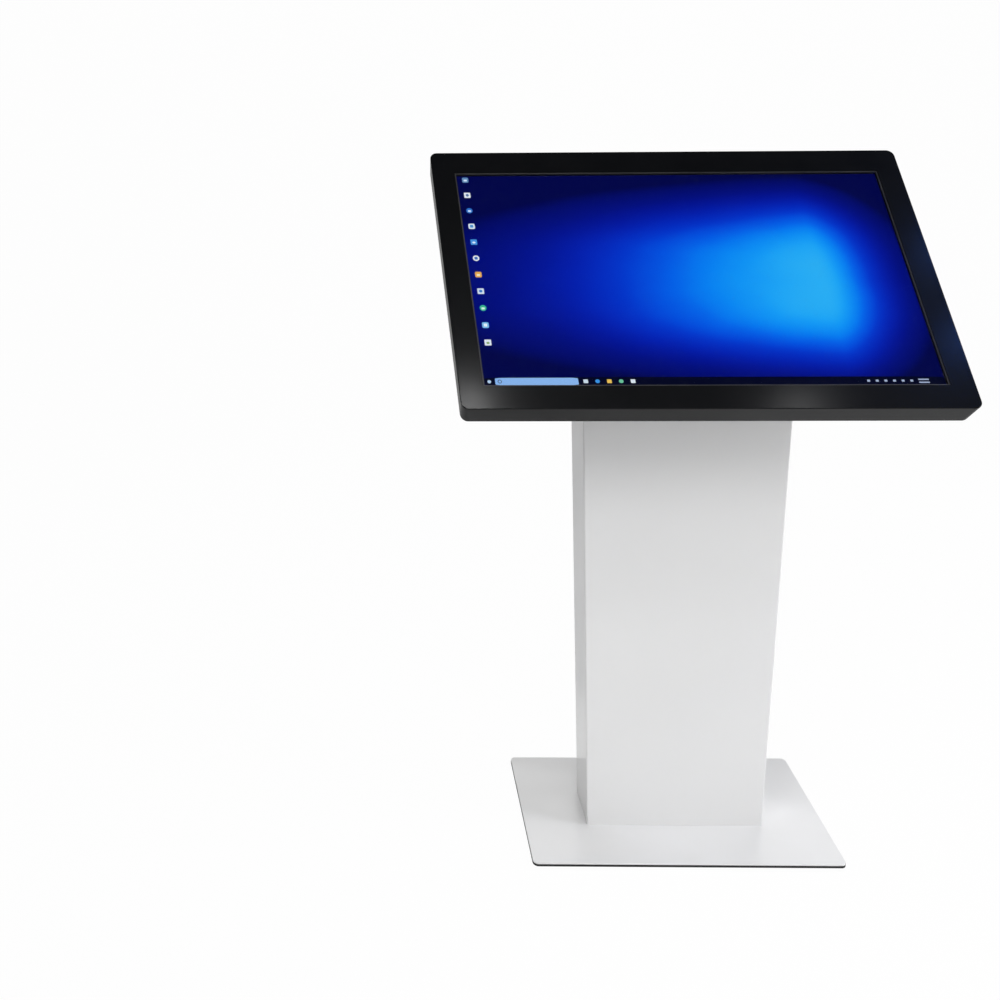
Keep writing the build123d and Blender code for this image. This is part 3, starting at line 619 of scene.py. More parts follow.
@dataclass(frozen=True)
class PaintFinish:
    """Baked powder coat on sheet steel."""

    name: str
    colour: Colour
    dusty: Colour
    roughness: float
    coat: float
    coat_roughness: float
    specular: float = 0.5
    wave_height: float = 0.00004
    wave_scale: float = 90.0
    dust: float = 0.12
    hairline: float = 0.25
    darkest: float = 0.955
    line_dulling: float = 0.12
    dust_dulling: float = 0.5

    def make(self, effects: Effects) -> bpy.types.Material:
        """Build the material.

        Args:
            effects: the shared node groups.

        Returns:
            The material.
        """
        material, w, shader = start_material(self.name)
        texture = w.group(effects.coat_texture, Wave_Scale=self.wave_scale)
        lines = w.group(effects.hairlines, Amount=self.hairline).outputs["Mask"]
        drift = texture.outputs["Drift"]
        tone = shaded(w, self.colour, w.span(drift, *DRIFT_RANGE, self.darkest, 1.0))
        rough = w.span(drift, *DRIFT_RANGE, self.roughness * 0.92, self.roughness * 1.1)
        wiped = w.math("ADD", rough, w.math("MULTIPLY", lines, self.line_dulling))
        SettledDust(self.dust, self.dusty, self.dust_dulling).lay(w, shader, effects, tone, wiped)
        shader.inputs["Specular IOR Level"].default_value = self.specular
        shader.inputs["Coat Weight"].default_value = self.coat
        shader.inputs["Coat Roughness"].default_value = self.coat_roughness
        add_bump(w, shader, texture.outputs["Height"], self.wave_height)
        return material


class SheetGrain(Enum):
    """How a bare metal's surface is figured."""

    DRAWN = "drawn"
    SPANGLE = "spangle"


@dataclass(frozen=True)
class MetalFinish:
    """Bare or plated metal."""

    name: str
    colour: Colour
    roughness: float
    figure: SheetGrain = SheetGrain.DRAWN
    contrast: float = 0.18
    scale: float = 12.0
    figure_height: float = 0.00002
    figure_share: float = 0.6
    dust: SettledDust = SettledDust(0.2, (0.35, 0.34, 0.32), 0.4)

    def make(self, effects: Effects) -> bpy.types.Material:
        """Build the material.

        Args:
            effects: the shared node groups.

        Returns:
            The material.
        """
        material, w, shader = start_material(self.name)
        if self.figure is SheetGrain.SPANGLE:
            figure = w.group(effects.spangle, Scale=self.scale)
            height = figure.outputs["Edge"]
        else:
            figure = w.group(effects.streaks, Scale=self.scale)
            height = figure.outputs["Height"]
        brightness = figure.outputs["Tone"]
        tone = shaded(w, self.colour, w.span(brightness, *FIGURE_RANGE, 1.0 - self.contrast, 1.0))
        rough = w.span(brightness, *FIGURE_RANGE, self.roughness * 1.15, self.roughness * 0.85)
        self.dust.lay(w, shader, effects, tone, rough)
        shader.inputs["Metallic"].default_value = 1.0
        add_bump(w, shader, height, self.figure_height, self.figure_share)
        return material


@dataclass(frozen=True)
class MouldedFinish:
    """Moulded plastic, rubber or foam."""

    name: str
    colour: Colour
    roughness: float
    grain_height: float = 0.00005
    grain_scale: float = 1200.0
    dust: float = 0.15
    dusty: Colour = (0.3, 0.29, 0.27)
    dust_dulling: float = 0.3

    def make(self, effects: Effects) -> bpy.types.Material:
        """Build the material.

        Args:
            effects: the shared node groups.

        Returns:
            The material.
        """
        material, w, shader = start_material(self.name)
        grain = w.group(effects.grain, Scale=self.grain_scale)
        drift = grain.outputs["Drift"]
        tone = shaded(w, self.colour, w.span(drift, *DRIFT_RANGE, 0.9, 1.05))
        rough = w.span(drift, *DRIFT_RANGE, self.roughness * 0.9, self.roughness * 1.1)
        SettledDust(self.dust, self.dusty, self.dust_dulling).lay(w, shader, effects, tone, rough)
        add_bump(w, shader, grain.outputs["Height"], self.grain_height)
        return material


@dataclass(frozen=True)
class BoardFinish:
    """A circuit board: green solder mask over copper tracks that run square to each other."""

    name: str
    mask: Colour
    track: Colour
    cell_scale: float = 160.0
    track_pitch: float = 0.12
    track_edge: tuple[float, float] = (0.05, 0.07)
    track_height: float = 0.00003
    grain_scale: float = 2500.0

    def make(self, effects: Effects) -> bpy.types.Material:
        """Build the material.

        Args:
            effects: the shared node groups.

        Returns:
            The material.
        """
        material, w, shader = start_material(self.name)
        cells = w.add("ShaderNodeTexVoronoi", distance="CHEBYCHEV")
        w.feed(cells.inputs["Vector"], w.object_point())
        cells.inputs["Scale"].default_value = self.cell_scale
        lines = w.math("PINGPONG", cells.outputs["Distance"], self.track_pitch)
        tracks = w.span(lines, *self.track_edge, 0.0, 1.0)
        w.feed(shader.inputs["Base Color"], w.mix(tracks, self.mask, self.track))
        grain = w.group(effects.grain, Scale=self.grain_scale)
        w.feed(shader.inputs["Roughness"], w.span(grain.outputs["Drift"], *DRIFT_RANGE, 0.3, 0.4))
        add_bump(w, shader, tracks, self.track_height)
        return material


@dataclass(frozen=True)
class GlassFinish:
    """Toughened sheet glass with faint finger marks."""

    name: str
    roughness: float = 0.004
    tint: Colour = (0.97, 0.985, 0.985)
    mark_scale: float = 16.0
    mark_range: tuple[float, float] = (0.56, 0.74)
    mark_dulling: float = 0.02

    def make(self, effects: Effects) -> bpy.types.Material:
        """Build the material.

        Args:
            effects: the shared node groups, none of which glass needs.

        Returns:
            The material.
        """
        material, w, shader = start_material(self.name)
        marks = w.noise(w.stretched(w.object_point(), (1.0, 1.4, 1.4)), self.mark_scale, 5.0, 0.6)
        smear = w.span(marks, *self.mark_range, 0.0, self.mark_dulling)
        w.feed(shader.inputs["Roughness"], w.math("ADD", smear, self.roughness))
        shader.inputs["Base Color"].default_value = (*self.tint, 1.0)
        shader.inputs["Transmission Weight"].default_value = 1.0
        shader.inputs["IOR"].default_value = 1.5
        return material


def lit_material(name: str, brightness: float) -> tuple[bpy.types.Material, Wiring, bpy.types.Node]:
    """Start a dark surface that shines; its Emission Color is still to be fed.

    Args:
        name: the material's name.
        brightness: 1 shows a colour as it is.

    Returns:
        The material, its wiring and its shader node.
    """
    material, w, shader = start_material(name)
    shader.inputs["Base Color"].default_value = (*BLACK, 1.0)
    shader.inputs["Specular IOR Level"].default_value = 0.05
    shader.inputs["Roughness"].default_value = 0.5
    shader.inputs["Emission Strength"].default_value = brightness
    return material, w, shader


def mark_material(name: str) -> bpy.types.Material:
    """A surface that shines with the colour stored in its attribute "tint".

    Args:
        name: the material's name.

    Returns:
        The material.
    """
    material, w, shader = lit_material(name, 1.0)
    tint = w.add("ShaderNodeAttribute", attribute_name="tint")
    w.feed(shader.inputs["Emission Color"], tint.outputs["Color"])
    return material


def sign_material(name: str) -> bpy.types.Material:
    """Printed ink with small grey specks, in the colour stored in "tint".

    Args:
        name: the material's name.

    Returns:
        The material.
    """
    speck_scale = 3000.0
    speck_grey: Colour = (0.3, 0.3, 0.3)
    material, w, shader = start_material(name)
    tint = w.add("ShaderNodeAttribute", attribute_name="tint")
    speck = w.span(w.noise(w.object_point(), speck_scale, 2.0), *DRIFT_RANGE, 0.12, 0.0)
    w.feed(shader.inputs["Base Color"], w.mix(speck, tint.outputs["Color"], speck_grey))
    shader.inputs["Roughness"].default_value = 0.5
    return material


def paints() -> list[PaintFinish]:
    """The painted finishes.

    Returns:
        The finishes, one for each painted slot.
    """
    pale_dust: Colour = (0.55, 0.54, 0.52)
    return [
        PaintFinish("white_paint", srgb(236, 236, 236), pale_dust, 0.34, 0.5, 0.06, dust=0.05),
        PaintFinish("bare_steel", srgb(232, 232, 231), pale_dust, 0.4, 0.1, 0.2),
        PaintFinish("black_paint", srgb(10, 11, 13), (0.25, 0.25, 0.26), 0.36, 0.15, 0.16, specular=0.05,
                    wave_height=0.00003, wave_scale=160.0, dust=0.012, hairline=0.2),
        PaintFinish("dark_paint", srgb(58, 60, 64), pale_dust, 0.5, 0.0, 0.3, wave_scale=300.0),
        PaintFinish("black_screws", srgb(26, 27, 29), pale_dust, 0.36, 0.1, 0.2, dust=0.02),
    ]


def metals() -> list[MetalFinish]:
    """The bare and plated metals.

    Returns:
        The finishes, one for each metal slot.
    """
    return [
        MetalFinish("zinc_steel", (0.62, 0.64, 0.66), 0.3),
        MetalFinish("galvanised_steel", (0.55, 0.57, 0.59), 0.42, SheetGrain.SPANGLE, 0.24, 110.0),
        MetalFinish("chrome", (0.78, 0.79, 0.8), 0.09, contrast=0.05),
        MetalFinish("brass", (0.72, 0.52, 0.22), 0.25),
    ]


def mouldings() -> list[MouldedFinish]:
    """Plastics, rubber and foam.

    Returns:
        The finishes, one for each moulded slot.
    """
    return [
        MouldedFinish("black_rubber", srgb(22, 22, 23), 0.8, 0.00008, 700.0),
        MouldedFinish("foam", srgb(46, 46, 48), 0.9, 0.0002, 500.0),
        MouldedFinish("black_plastic", srgb(34, 34, 36), 0.42),
        MouldedFinish("gloss_black_plastic", srgb(24, 24, 26), 0.16, 0.00001),
        MouldedFinish("grey_plastic", srgb(150, 152, 154), 0.5),
        MouldedFinish("cable_black", srgb(30, 30, 31), 0.45, 0.00003, 900.0),
        MouldedFinish("display", srgb(16, 18, 24), 0.3, 0.0, 900.0, dust=0.0),
    ]


class Finishes:
    """Every material of the record's slots, by slot name."""

    def __init__(self) -> None:
        """Build the node groups and the materials."""
        self.effects = Effects()
        board = BoardFinish("circuit_board", srgb(14, 92, 52), srgb(38, 132, 78))
        makers = [*paints(), *metals(), *mouldings(), board, GlassFinish("glass")]
        self.by_slot = {maker.name: maker.make(self.effects) for maker in makers}

    def dress(self, frame: dict) -> None:
        """Give each CAD node the material of its slot.
        """
        slots = {part["node"]: part["material_slot"] for part in frame["record"]["subparts"]}
        for name, node in frame["nodes"].items():
            node.data.materials.clear()
            node.data.materials.append(self.by_slot[slots[name]])
            LOG.info("%s wears %s", name, slots[name])


# ---- The screen's picture -----------------------------------------------------


NAVY = srgb(2, 5, 34)
FIELD_BLUE = srgb(140, 185, 242)
RING_GREY = srgb(60, 80, 110)
MENU_BLUE = srgb(190, 215, 245)
STATUS_GREY = srgb(170, 185, 215)
CLOCK_GREY = srgb(165, 180, 212)

# Display colours of the icons beside the blank field.
LAUNCH_TONES = ((210, 225, 240), (60, 150, 235), (240, 200, 90), (110, 200, 160), (225, 235, 245))

# Display colours of each icon in the column: its back plate and the shape on it.
ICON_TONES = (
    ((96, 140, 190), (220, 235, 250)),
    ((235, 240, 246), (84, 120, 165)),
    ((40, 110, 205), (205, 228, 250)),
    ((222, 232, 244), (70, 150, 215)),
    ((70, 150, 230), (230, 242, 252)),
    ((235, 238, 242), (60, 110, 190)),
    ((240, 176, 74), (250, 236, 205)),
    ((214, 226, 240), (52, 128, 210)),
    ((60, 190, 150), (220, 245, 236)),
    ((120, 190, 240), (240, 248, 253)),
    ((230, 236, 244), (130, 170, 90)),
)

# Display colours of the glow, from its middle (0) to the dark edges (1).
GLOW_STOPS = (
    (0.00, (46, 180, 246)),
    (0.08, (6, 158, 250)),
    (0.19, (0, 96, 240)),
    (0.32, (0, 42, 204)),
    (0.50, (0, 21, 158)),
    (0.66, (0, 12, 126)),
    (0.85, (0, 8, 104)),
    (1.00, (0, 3, 62)),
)


@dataclass(frozen=True)
class ScreenGlow:
    """A blue glow right of the middle, wide to the left, that falls to navy at the edges."""

    name: str = "screen_glow"
    middle_across: float = 0.80
    middle_up: float = 0.47
    reach_left: float = 0.78
    reach_right: float = 0.19
    reach_up: float = 0.46
    power_across: float = 1.5
    power_up: float = 2.6
    mist: float = 0.16
    spread: float = 0.72
    brightness: float = 1.06

    def make(self) -> bpy.types.Material:
        """Build the material: place on the ramp = spread (across^p + up^q + mist).

        Returns:
            The material.
        """
        material, w, shader = lit_material(self.name, self.brightness)
        uv = w.add("ShaderNodeSeparateXYZ")
        w.feed(uv.inputs[0], w.add("ShaderNodeUVMap", uv_map="UVMap").outputs[0])
        across = w.math("SUBTRACT", uv.outputs["X"], self.middle_across)
        leftward = w.math("DIVIDE", w.math("MINIMUM", across, 0.0), self.reach_left)
        rightward = w.math("DIVIDE", w.math("MAXIMUM", across, 0.0), self.reach_right)
        away = w.math("ABSOLUTE", w.math("ADD", leftward, rightward))
        side = w.math("POWER", away, self.power_across)
        upward = w.math("DIVIDE", w.math("SUBTRACT", uv.outputs["Y"], self.middle_up), self.reach_up)
        rise = w.math("POWER", w.math("ABSOLUTE", upward), self.power_up)
        drift = w.noise(w.stretched(w.object_point(), (1.0, 2.0, 2.0)), 4.0, 3.0, 0.5)
        mist = w.math("MULTIPLY", w.math("SUBTRACT", drift, 0.5), self.mist)
        reach = w.math("ADD", w.math("ADD", side, rise), mist)
        ramp = w.add("ShaderNodeValToRGB")
        ramp.color_ramp.interpolation = "B_SPLINE"
        points = ramp.color_ramp.elements
        while len(points) < len(GLOW_STOPS):
            points.new(0.5)
        for point, (place, colour) in zip(points, GLOW_STOPS):
            point.position = place
            point.color = (*srgb(*colour), 1.0)
        w.feed(ramp.inputs[0], w.math("MULTIPLY", reach, self.spread, clamp=True))
        w.feed(shader.inputs["Emission Color"], ramp.outputs[0])
        return material


class IconShape(Enum):
    """Outline of a plain icon, as the power of its superellipse."""

    ROUND = 2.0
    SOFT = 5.0
    SQUARE = 14.0


@dataclass(frozen=True)
class Mark:
    """One flat shape on the screen, in millimetres from its lower left corner."""

    x: float
    y: float
    width: float
    height: float
    colour: Colour
    shape: IconShape = IconShape.SQUARE
    layer: int = 0


@dataclass(frozen=True)
class MarkRow:
    """Equal marks on the bar: the share of its width where they start, then millimetres."""

    start_share: float
    foot: float
    width: float
    height: float
    pitch: float

    def mark(self, bar_width: float, right: int, up: int, colour: Colour, shape: IconShape) -> Mark:
        """Make the mark that lies some pitches to the right of the start, or above it.

        Args:
            bar_width: the bar's width in millimetres.
            right: pitches to the right.
            up: pitches upwards.
            colour: its colour.
            shape: its outline.

        Returns:
            The mark, in the layer over the bar.
        """
        x = self.start_share * bar_width + right * self.pitch
        return Mark(x, self.foot + up * self.pitch, self.width, self.height, colour, shape, 1)


@dataclass
class Screen:
    """The lit picture under the glass: a soft blue glow, a dark bar and plain icons.

    The sizes of the bar and the icons are in millimetres, the others in metres.
    """

    width: float
    height: float
    plane: TiltedPlane
    picture_columns: int = 33
    picture_rows: int = 19
    picture_lift: float = 0.06 * MM
    mark_lift: float = 0.12 * MM
    layer_step: float = 0.05 * MM
    outline_points: int = 48
    bar_height: float = 14.5
    blank_start: float = 0.0235
    blank_share: float = 0.182
    blank_margin: float = 1.0
    ring_start: float = 0.029
    ring_foot: float = 4.0
    ring_size: float = 6.4
    ring_line: float = 1.1
    menu_start: float = 4.6
    menu_foot: float = 4.2
    menu_size: float = 5.6
    launch_row: MarkRow = MarkRow(0.2165, 4.2, 7.0, 6.4, 18.0)
    status_row: MarkRow = MarkRow(0.832, 5.4, 4.4, 3.6, 13.0)
    status_count: int = 6
    clock_rows: MarkRow = MarkRow(0.943, 3.2, 16.0, 2.2, 5.0)
    clock_lines: int = 2
    icon_column: float = 8.5
    icon_pitch: float = 31.0
    icon_size: float = 10.5
    icon_margin: float = 2.5
    icon_core: float = 0.5
    icon_flatness: float = 0.7

    def build(self) -> None:
        """Build the picture, the bar and the icons, and attach them to the kiosk."""
        self._picture()
        self._marks("screen_bar", self._bar_marks())
        self._marks("screen_icons", self._icon_marks())

    def _picture(self) -> None:
        """A flat grid over the lit area: x = (u - 1/2) width, y = (v - 1/2) height."""
        u, v = np.meshgrid(np.linspace(0, 1, self.picture_columns), np.linspace(0, 1, self.picture_rows))
        lift = np.full_like(u, self.picture_lift)
        local = np.stack([(u - 0.5) * self.width, (v - 0.5) * self.height, lift], axis=-1)
        faces = grid_faces(self.picture_rows, self.picture_columns)
        piece = new_piece("screen_picture", self.plane.place(local.reshape(-1, 3)), faces)
        write_uv(piece.data, np.stack([u.ravel(), v.ravel()], axis=1))
        attach(piece, ScreenGlow().make(), "kiosk")

    def _marks(self, name: str, marks: Iterable[Mark]) -> None:
        """Flat shapes, each one face whose outline is r = (|cos a|^p + |sin a|^p)^(-1/p).

        Args:
            name: the piece's name.
            marks: the shapes.
        """
        turns = self.outline_points
        angle = np.arange(turns) / turns * 2 * math.pi + math.pi / turns
        points, faces, tints = [], [], []
        for mark in marks:
            power = mark.shape.value
            radius = (np.abs(np.cos(angle)) ** power + np.abs(np.sin(angle)) ** power) ** (-1 / power)
            x = (mark.x + mark.width / 2 * (1 + radius * np.cos(angle))) * MM - self.width / 2
            y = (mark.y + mark.height / 2 * (1 + radius * np.sin(angle))) * MM - self.height / 2
            lift = np.full_like(x, self.mark_lift + mark.layer * self.layer_step)
            faces.append(np.arange(turns)[None, :] + len(points) * turns)
            points.append(np.stack([x, y, lift], axis=-1))
            tints.append(np.tile(np.array(mark.colour), (turns, 1)))
        placed = self.plane.place(np.concatenate(points))
        piece = new_piece(name, placed, np.concatenate(faces), smooth=False)
        write_tint(piece.data, np.concatenate(tints))
        attach(piece, mark_material(name), "kiosk")

    def _bar_marks(self) -> list[Mark]:
        """The dark bar along the foot, its blank pale field and its small plain signs.

        Returns:
            The marks, from the bar up to the signs on it.
        """
        width = self.width / MM
        blank_height = self.bar_height - 2 * self.blank_margin
        ring_x = self.ring_start * width
        ring_inside = self.ring_size - 2 * self.ring_line
        inside_x = ring_x + self.ring_line
        inside_y = self.ring_foot + self.ring_line
        marks = [
            Mark(0.0, 0.0, width, self.bar_height, NAVY),
            Mark(self.blank_start * width, self.blank_margin, self.blank_share * width, blank_height,
                 FIELD_BLUE, layer=1),
            Mark(ring_x, self.ring_foot, self.ring_size, self.ring_size, RING_GREY, IconShape.ROUND, 2),
            Mark(inside_x, inside_y, ring_inside, ring_inside, FIELD_BLUE, IconShape.ROUND, 3),
            Mark(self.menu_start, self.menu_foot, self.menu_size, self.menu_size, MENU_BLUE,
                 IconShape.ROUND, 1),
        ]
        for i, tone in enumerate(LAUNCH_TONES):
            shape = IconShape.ROUND if i % 2 else IconShape.SQUARE
            marks.append(self.launch_row.mark(width, i, 0, srgb(*tone), shape))
        for i in range(self.status_count):
            marks.append(self.status_row.mark(width, i, 0, STATUS_GREY, IconShape.SOFT))
        for j in range(self.clock_lines):
            marks.append(self.clock_rows.mark(width, 0, j, CLOCK_GREY, IconShape.SQUARE))
        return marks

    def _icon_marks(self) -> list[Mark]:
        """One column of plain icons: a pale back plate and a smaller shape on each.

        Returns:
            The marks, each plate before the shape on it.
        """
        shapes = [IconShape.SOFT, IconShape.SQUARE, IconShape.ROUND]
        size = self.icon_size
        inner = self.icon_core * size
        gap = (size - inner) / 2
        top = self.height / MM - size - self.icon_margin
        marks = []
        for i, (plate, core) in enumerate(ICON_TONES):
            y = top - i * self.icon_pitch
            core_height = inner if i % 2 else inner * self.icon_flatness
            x = self.icon_column
            plate_shape, core_shape = shapes[i % 3], shapes[(i + 1) % 3]
            marks.append(Mark(x, y, size, size, srgb(*plate), plate_shape, 1))
            marks.append(Mark(x + gap, y + gap, inner, core_height, srgb(*core), core_shape, 2))
        return marks


# ---- Small fittings -----------------------------------------------------------


def swept_ring(corners: Array, radius: float, profile: Array, steps: int) -> tuple[Array, Array]:
    """Carry a profile round a rounded rectangle.

    The path is four straight sides joined by quarter circles. At each point of it the
    profile's first value moves outwards in the path's plane and its second one normal to it.

    Args:
        corners: half width and half height of the path.
        radius: radius of its corners.
        profile: rows of (outward, normal) offsets, in order round the section.
        steps: points on each corner.

    Returns:
        The points as (path, profile, 3) rows of x, z, normal, and the quads.
    """
    quarter = np.linspace(0, math.pi / 2, steps)
    angle = np.concatenate([quarter + k * math.pi / 2 for k in range(4)])
    centre_x = np.repeat([1, -1, -1, 1], steps) * (corners[0] - radius)
    centre_z = np.repeat([1, 1, -1, -1], steps) * (corners[1] - radius)
    outward = np.stack([np.cos(angle), np.sin(angle)], axis=1)
    middle = np.stack([centre_x, centre_z], axis=1) + radius * outward
    flat = middle[:, None, :] + outward[:, None, :] * profile[None, :, 0:1]
    normal = np.broadcast_to(profile[None, :, 1:2], flat.shape[:2] + (1,))
    points = np.concatenate([flat, normal], axis=-1)
    return points, grid_faces(len(points), len(profile), closed=True)[:, ::-1]


@dataclass
class DoorSeal:
    """The bulb seal of the rear door, which takes the place of its plain solid."""

    low: Vector
    high: Vector
    band: float = 7.5 * MM
    bulb_points: int = 20
    bulb_power: float = 0.7
    corner_radius: float = 6.0 * MM
    corner_steps: int = 10

    def build(self, finishes: Finishes) -> None:
        """Carry a bulb round the door opening; its section is a superellipse, band by depth.

        Args:
            finishes: the materials, by slot.
        """
        half = np.array([(self.high.x - self.low.x) / 2, (self.high.z - self.low.z) / 2])
        depth = self.high.y - self.low.y
        angle = np.linspace(0, 2 * math.pi, self.bulb_points, endpoint=False)
        circle = np.stack([np.cos(angle), np.sin(angle)], axis=1)
        bulb = np.sign(circle) * np.abs(circle) ** self.bulb_power
        profile = bulb * np.array([self.band / 2, depth / 2])
        points, faces = swept_ring(half - self.band / 2, self.corner_radius, profile, self.corner_steps)
        middle = (self.low + self.high) / 2
        across, upward, outward = np.moveaxis(points, -1, 0)
        placed = np.stack([middle.x + across, middle.y - outward, middle.z + upward], axis=-1)
        piece = new_piece("door_bulb_seal", placed, faces)
        attach(piece, finishes.by_slot["foam"], "kiosk")
        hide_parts("door_seal")


@dataclass
class BaseShadeLip:
    """The rubber sheet's lip over the lower part of the base plate's edge; its dark band is painted shade,
    standing in for the shade along that edge.
    """

    low: Vector
    high: Vector
    corner_radius: float = 10.0 * MM
    lip_inside: float = 0.2 * MM
    lip_outside: float = 0.5 * MM
    lip_bottom: float = 0.3 * MM
    lip_top: float = 5.4 * MM
    edge_round: float = 0.45 * MM
    edge_steps: int = 5
    corner_steps: int = 12

    def build(self, finishes: Finishes) -> None:
        """Carry the lip's flat section, with a rounded top edge, round the plate.

        Args:
            finishes: the materials, by slot.
        """
        half = np.array([(self.high.x - self.low.x) / 2, (self.high.y - self.low.y) / 2])
        turn = np.linspace(0, math.pi / 2, self.edge_steps)
        quarter = self.edge_round * np.stack([np.cos(turn), np.sin(turn)], axis=1)
        edge = np.array([self.lip_outside, self.lip_top]) - self.edge_round + quarter
        foot = np.array([[-self.lip_inside, self.lip_bottom], [self.lip_outside, self.lip_bottom]])
        profile = np.concatenate([foot, edge, [[-self.lip_inside, self.lip_top]]])
        points, faces = swept_ring(half, self.corner_radius, profile, self.corner_steps)
        middle = (self.low + self.high) / 2
        placed = points + np.array([middle.x, middle.y, 0.0])
        # Painted shade: the lip's dark band stands in for the shade along the plate's lower edge.
        piece = new_piece("base_shade_lip", placed, faces, smooth=False)
        attach(piece, finishes.by_slot["black_rubber"], "kiosk")


SIGN_WHITE = srgb(215, 215, 212)


@dataclass
class RockerSigns:
    """The bar and the ring printed on the two halves of the mains rocker."""

    pivot: Vector
    tilt: float = 12.0
    face_slope: float = 13.3
    valley: float = 2.4 * MM
    sign_along: float = 5.0 * MM
    sign_half: float = 1.9 * MM
    line: float = 0.8 * MM
    proud: float = 0.15 * MM
    sink: float = 0.05 * MM
    loop_points: int = 32
    bar_power: float = 0.2
    bar_core: float = 0.05

    def _plane(self, side: int) -> TiltedPlane:
        """The upper (side 1) or lower (side -1) face of the rocker, at its sign.

        Args:
            side: 1 for the upper half, -1 for the lower half.

        Returns:
            The frame of that face, whose origin is the middle of the sign.
        """
        lean = math.radians(self.tilt)
        along = Vector((0.0, math.sin(lean), math.cos(lean)))
        out = Vector((0.0, math.cos(lean), -math.sin(lean)))
        slope = math.radians(self.face_slope) * side
        face_up = math.cos(slope) * along + math.sin(slope) * out
        face_out = math.cos(slope) * out - math.sin(slope) * along
        rise = self.sign_along * math.tan(abs(slope))
        place = self.pivot + along * self.sign_along * side + out * (self.valley + rise)
        return TiltedPlane(place, face_up.cross(face_out).normalized(), face_up, face_out)

    def build(self) -> None:
        """Make both signs; each is a square section between an outer and an inner loop."""
        angle = np.linspace(0, 2 * math.pi, self.loop_points, endpoint=False)
        circle = np.stack([np.cos(angle), np.sin(angle)], axis=1)
        ring_outer = circle * self.sign_half
        ring_inner = circle * (self.sign_half - self.line)
        squared = np.sign(circle) * np.abs(circle) ** self.bar_power
        bar_outer = squared * np.array([self.line / 2, self.sign_half])
        self._sign("rocker_bar", 1, bar_outer, bar_outer * self.bar_core)
        self._sign("rocker_ring", -1, ring_outer, ring_inner)

    def _sign(self, name: str, side: int, outer: Array, inner: Array) -> None:
        """Carry the section along a sign's loops and lay it on its half of the rocker.

        Args:
            name: the piece's name.
            side: 1 for the upper half, -1 for the lower half.
            outer: rows of (across, up) of the outer loop.
            inner: rows of (across, up) of the inner loop.
        """
        section = ((outer, self.proud), (outer, -self.sink), (inner, -self.sink), (inner, self.proud))
        corners = [np.concatenate([loop, np.full((len(loop), 1), lift)], axis=1) for loop, lift in section]
        local = np.stack(corners, axis=1)
        points = self._plane(side).place(local.reshape(-1, 3))
        faces = grid_faces(self.loop_points, len(section), closed=True)
        piece = new_piece(name, points, faces, smooth=False)
        write_tint(piece.data, np.tile(np.array(SIGN_WHITE), (len(points), 1)))
        attach(piece, sign_material(name), "rocker")


# ---- Stage --------------------------------------------------------------------


@dataclass(frozen=True)
class SoftBox:
    """A rectangular studio lamp."""

    name: str
    place: tuple[float, float, float]
    aim: tuple[float, float, float]
    width: float
    height: float
    power: float
    colour: Colour = WHITE
    mirrored: bool = True

    def build(self) -> None:
        """Add the lamp, turned towards its aim; only its mirror image can be seen."""
        data = bpy.data.lights.new(self.name, "AREA")
        data.color = self.colour
        data.shape = "RECTANGLE"
        data.size, data.size_y = self.width, self.height
        data.energy = self.power
        lamp = bpy.data.objects.new(self.name, data)
        lamp.visible_camera = False
        lamp.visible_glossy = self.mirrored
        lamp.location = self.place
        lamp.rotation_mode = "QUATERNION"
        lamp.rotation_quaternion = (Vector(self.aim) - Vector(self.place)).to_track_quat("-Z", "Y")
        bpy.context.scene.collection.objects.link(lamp)


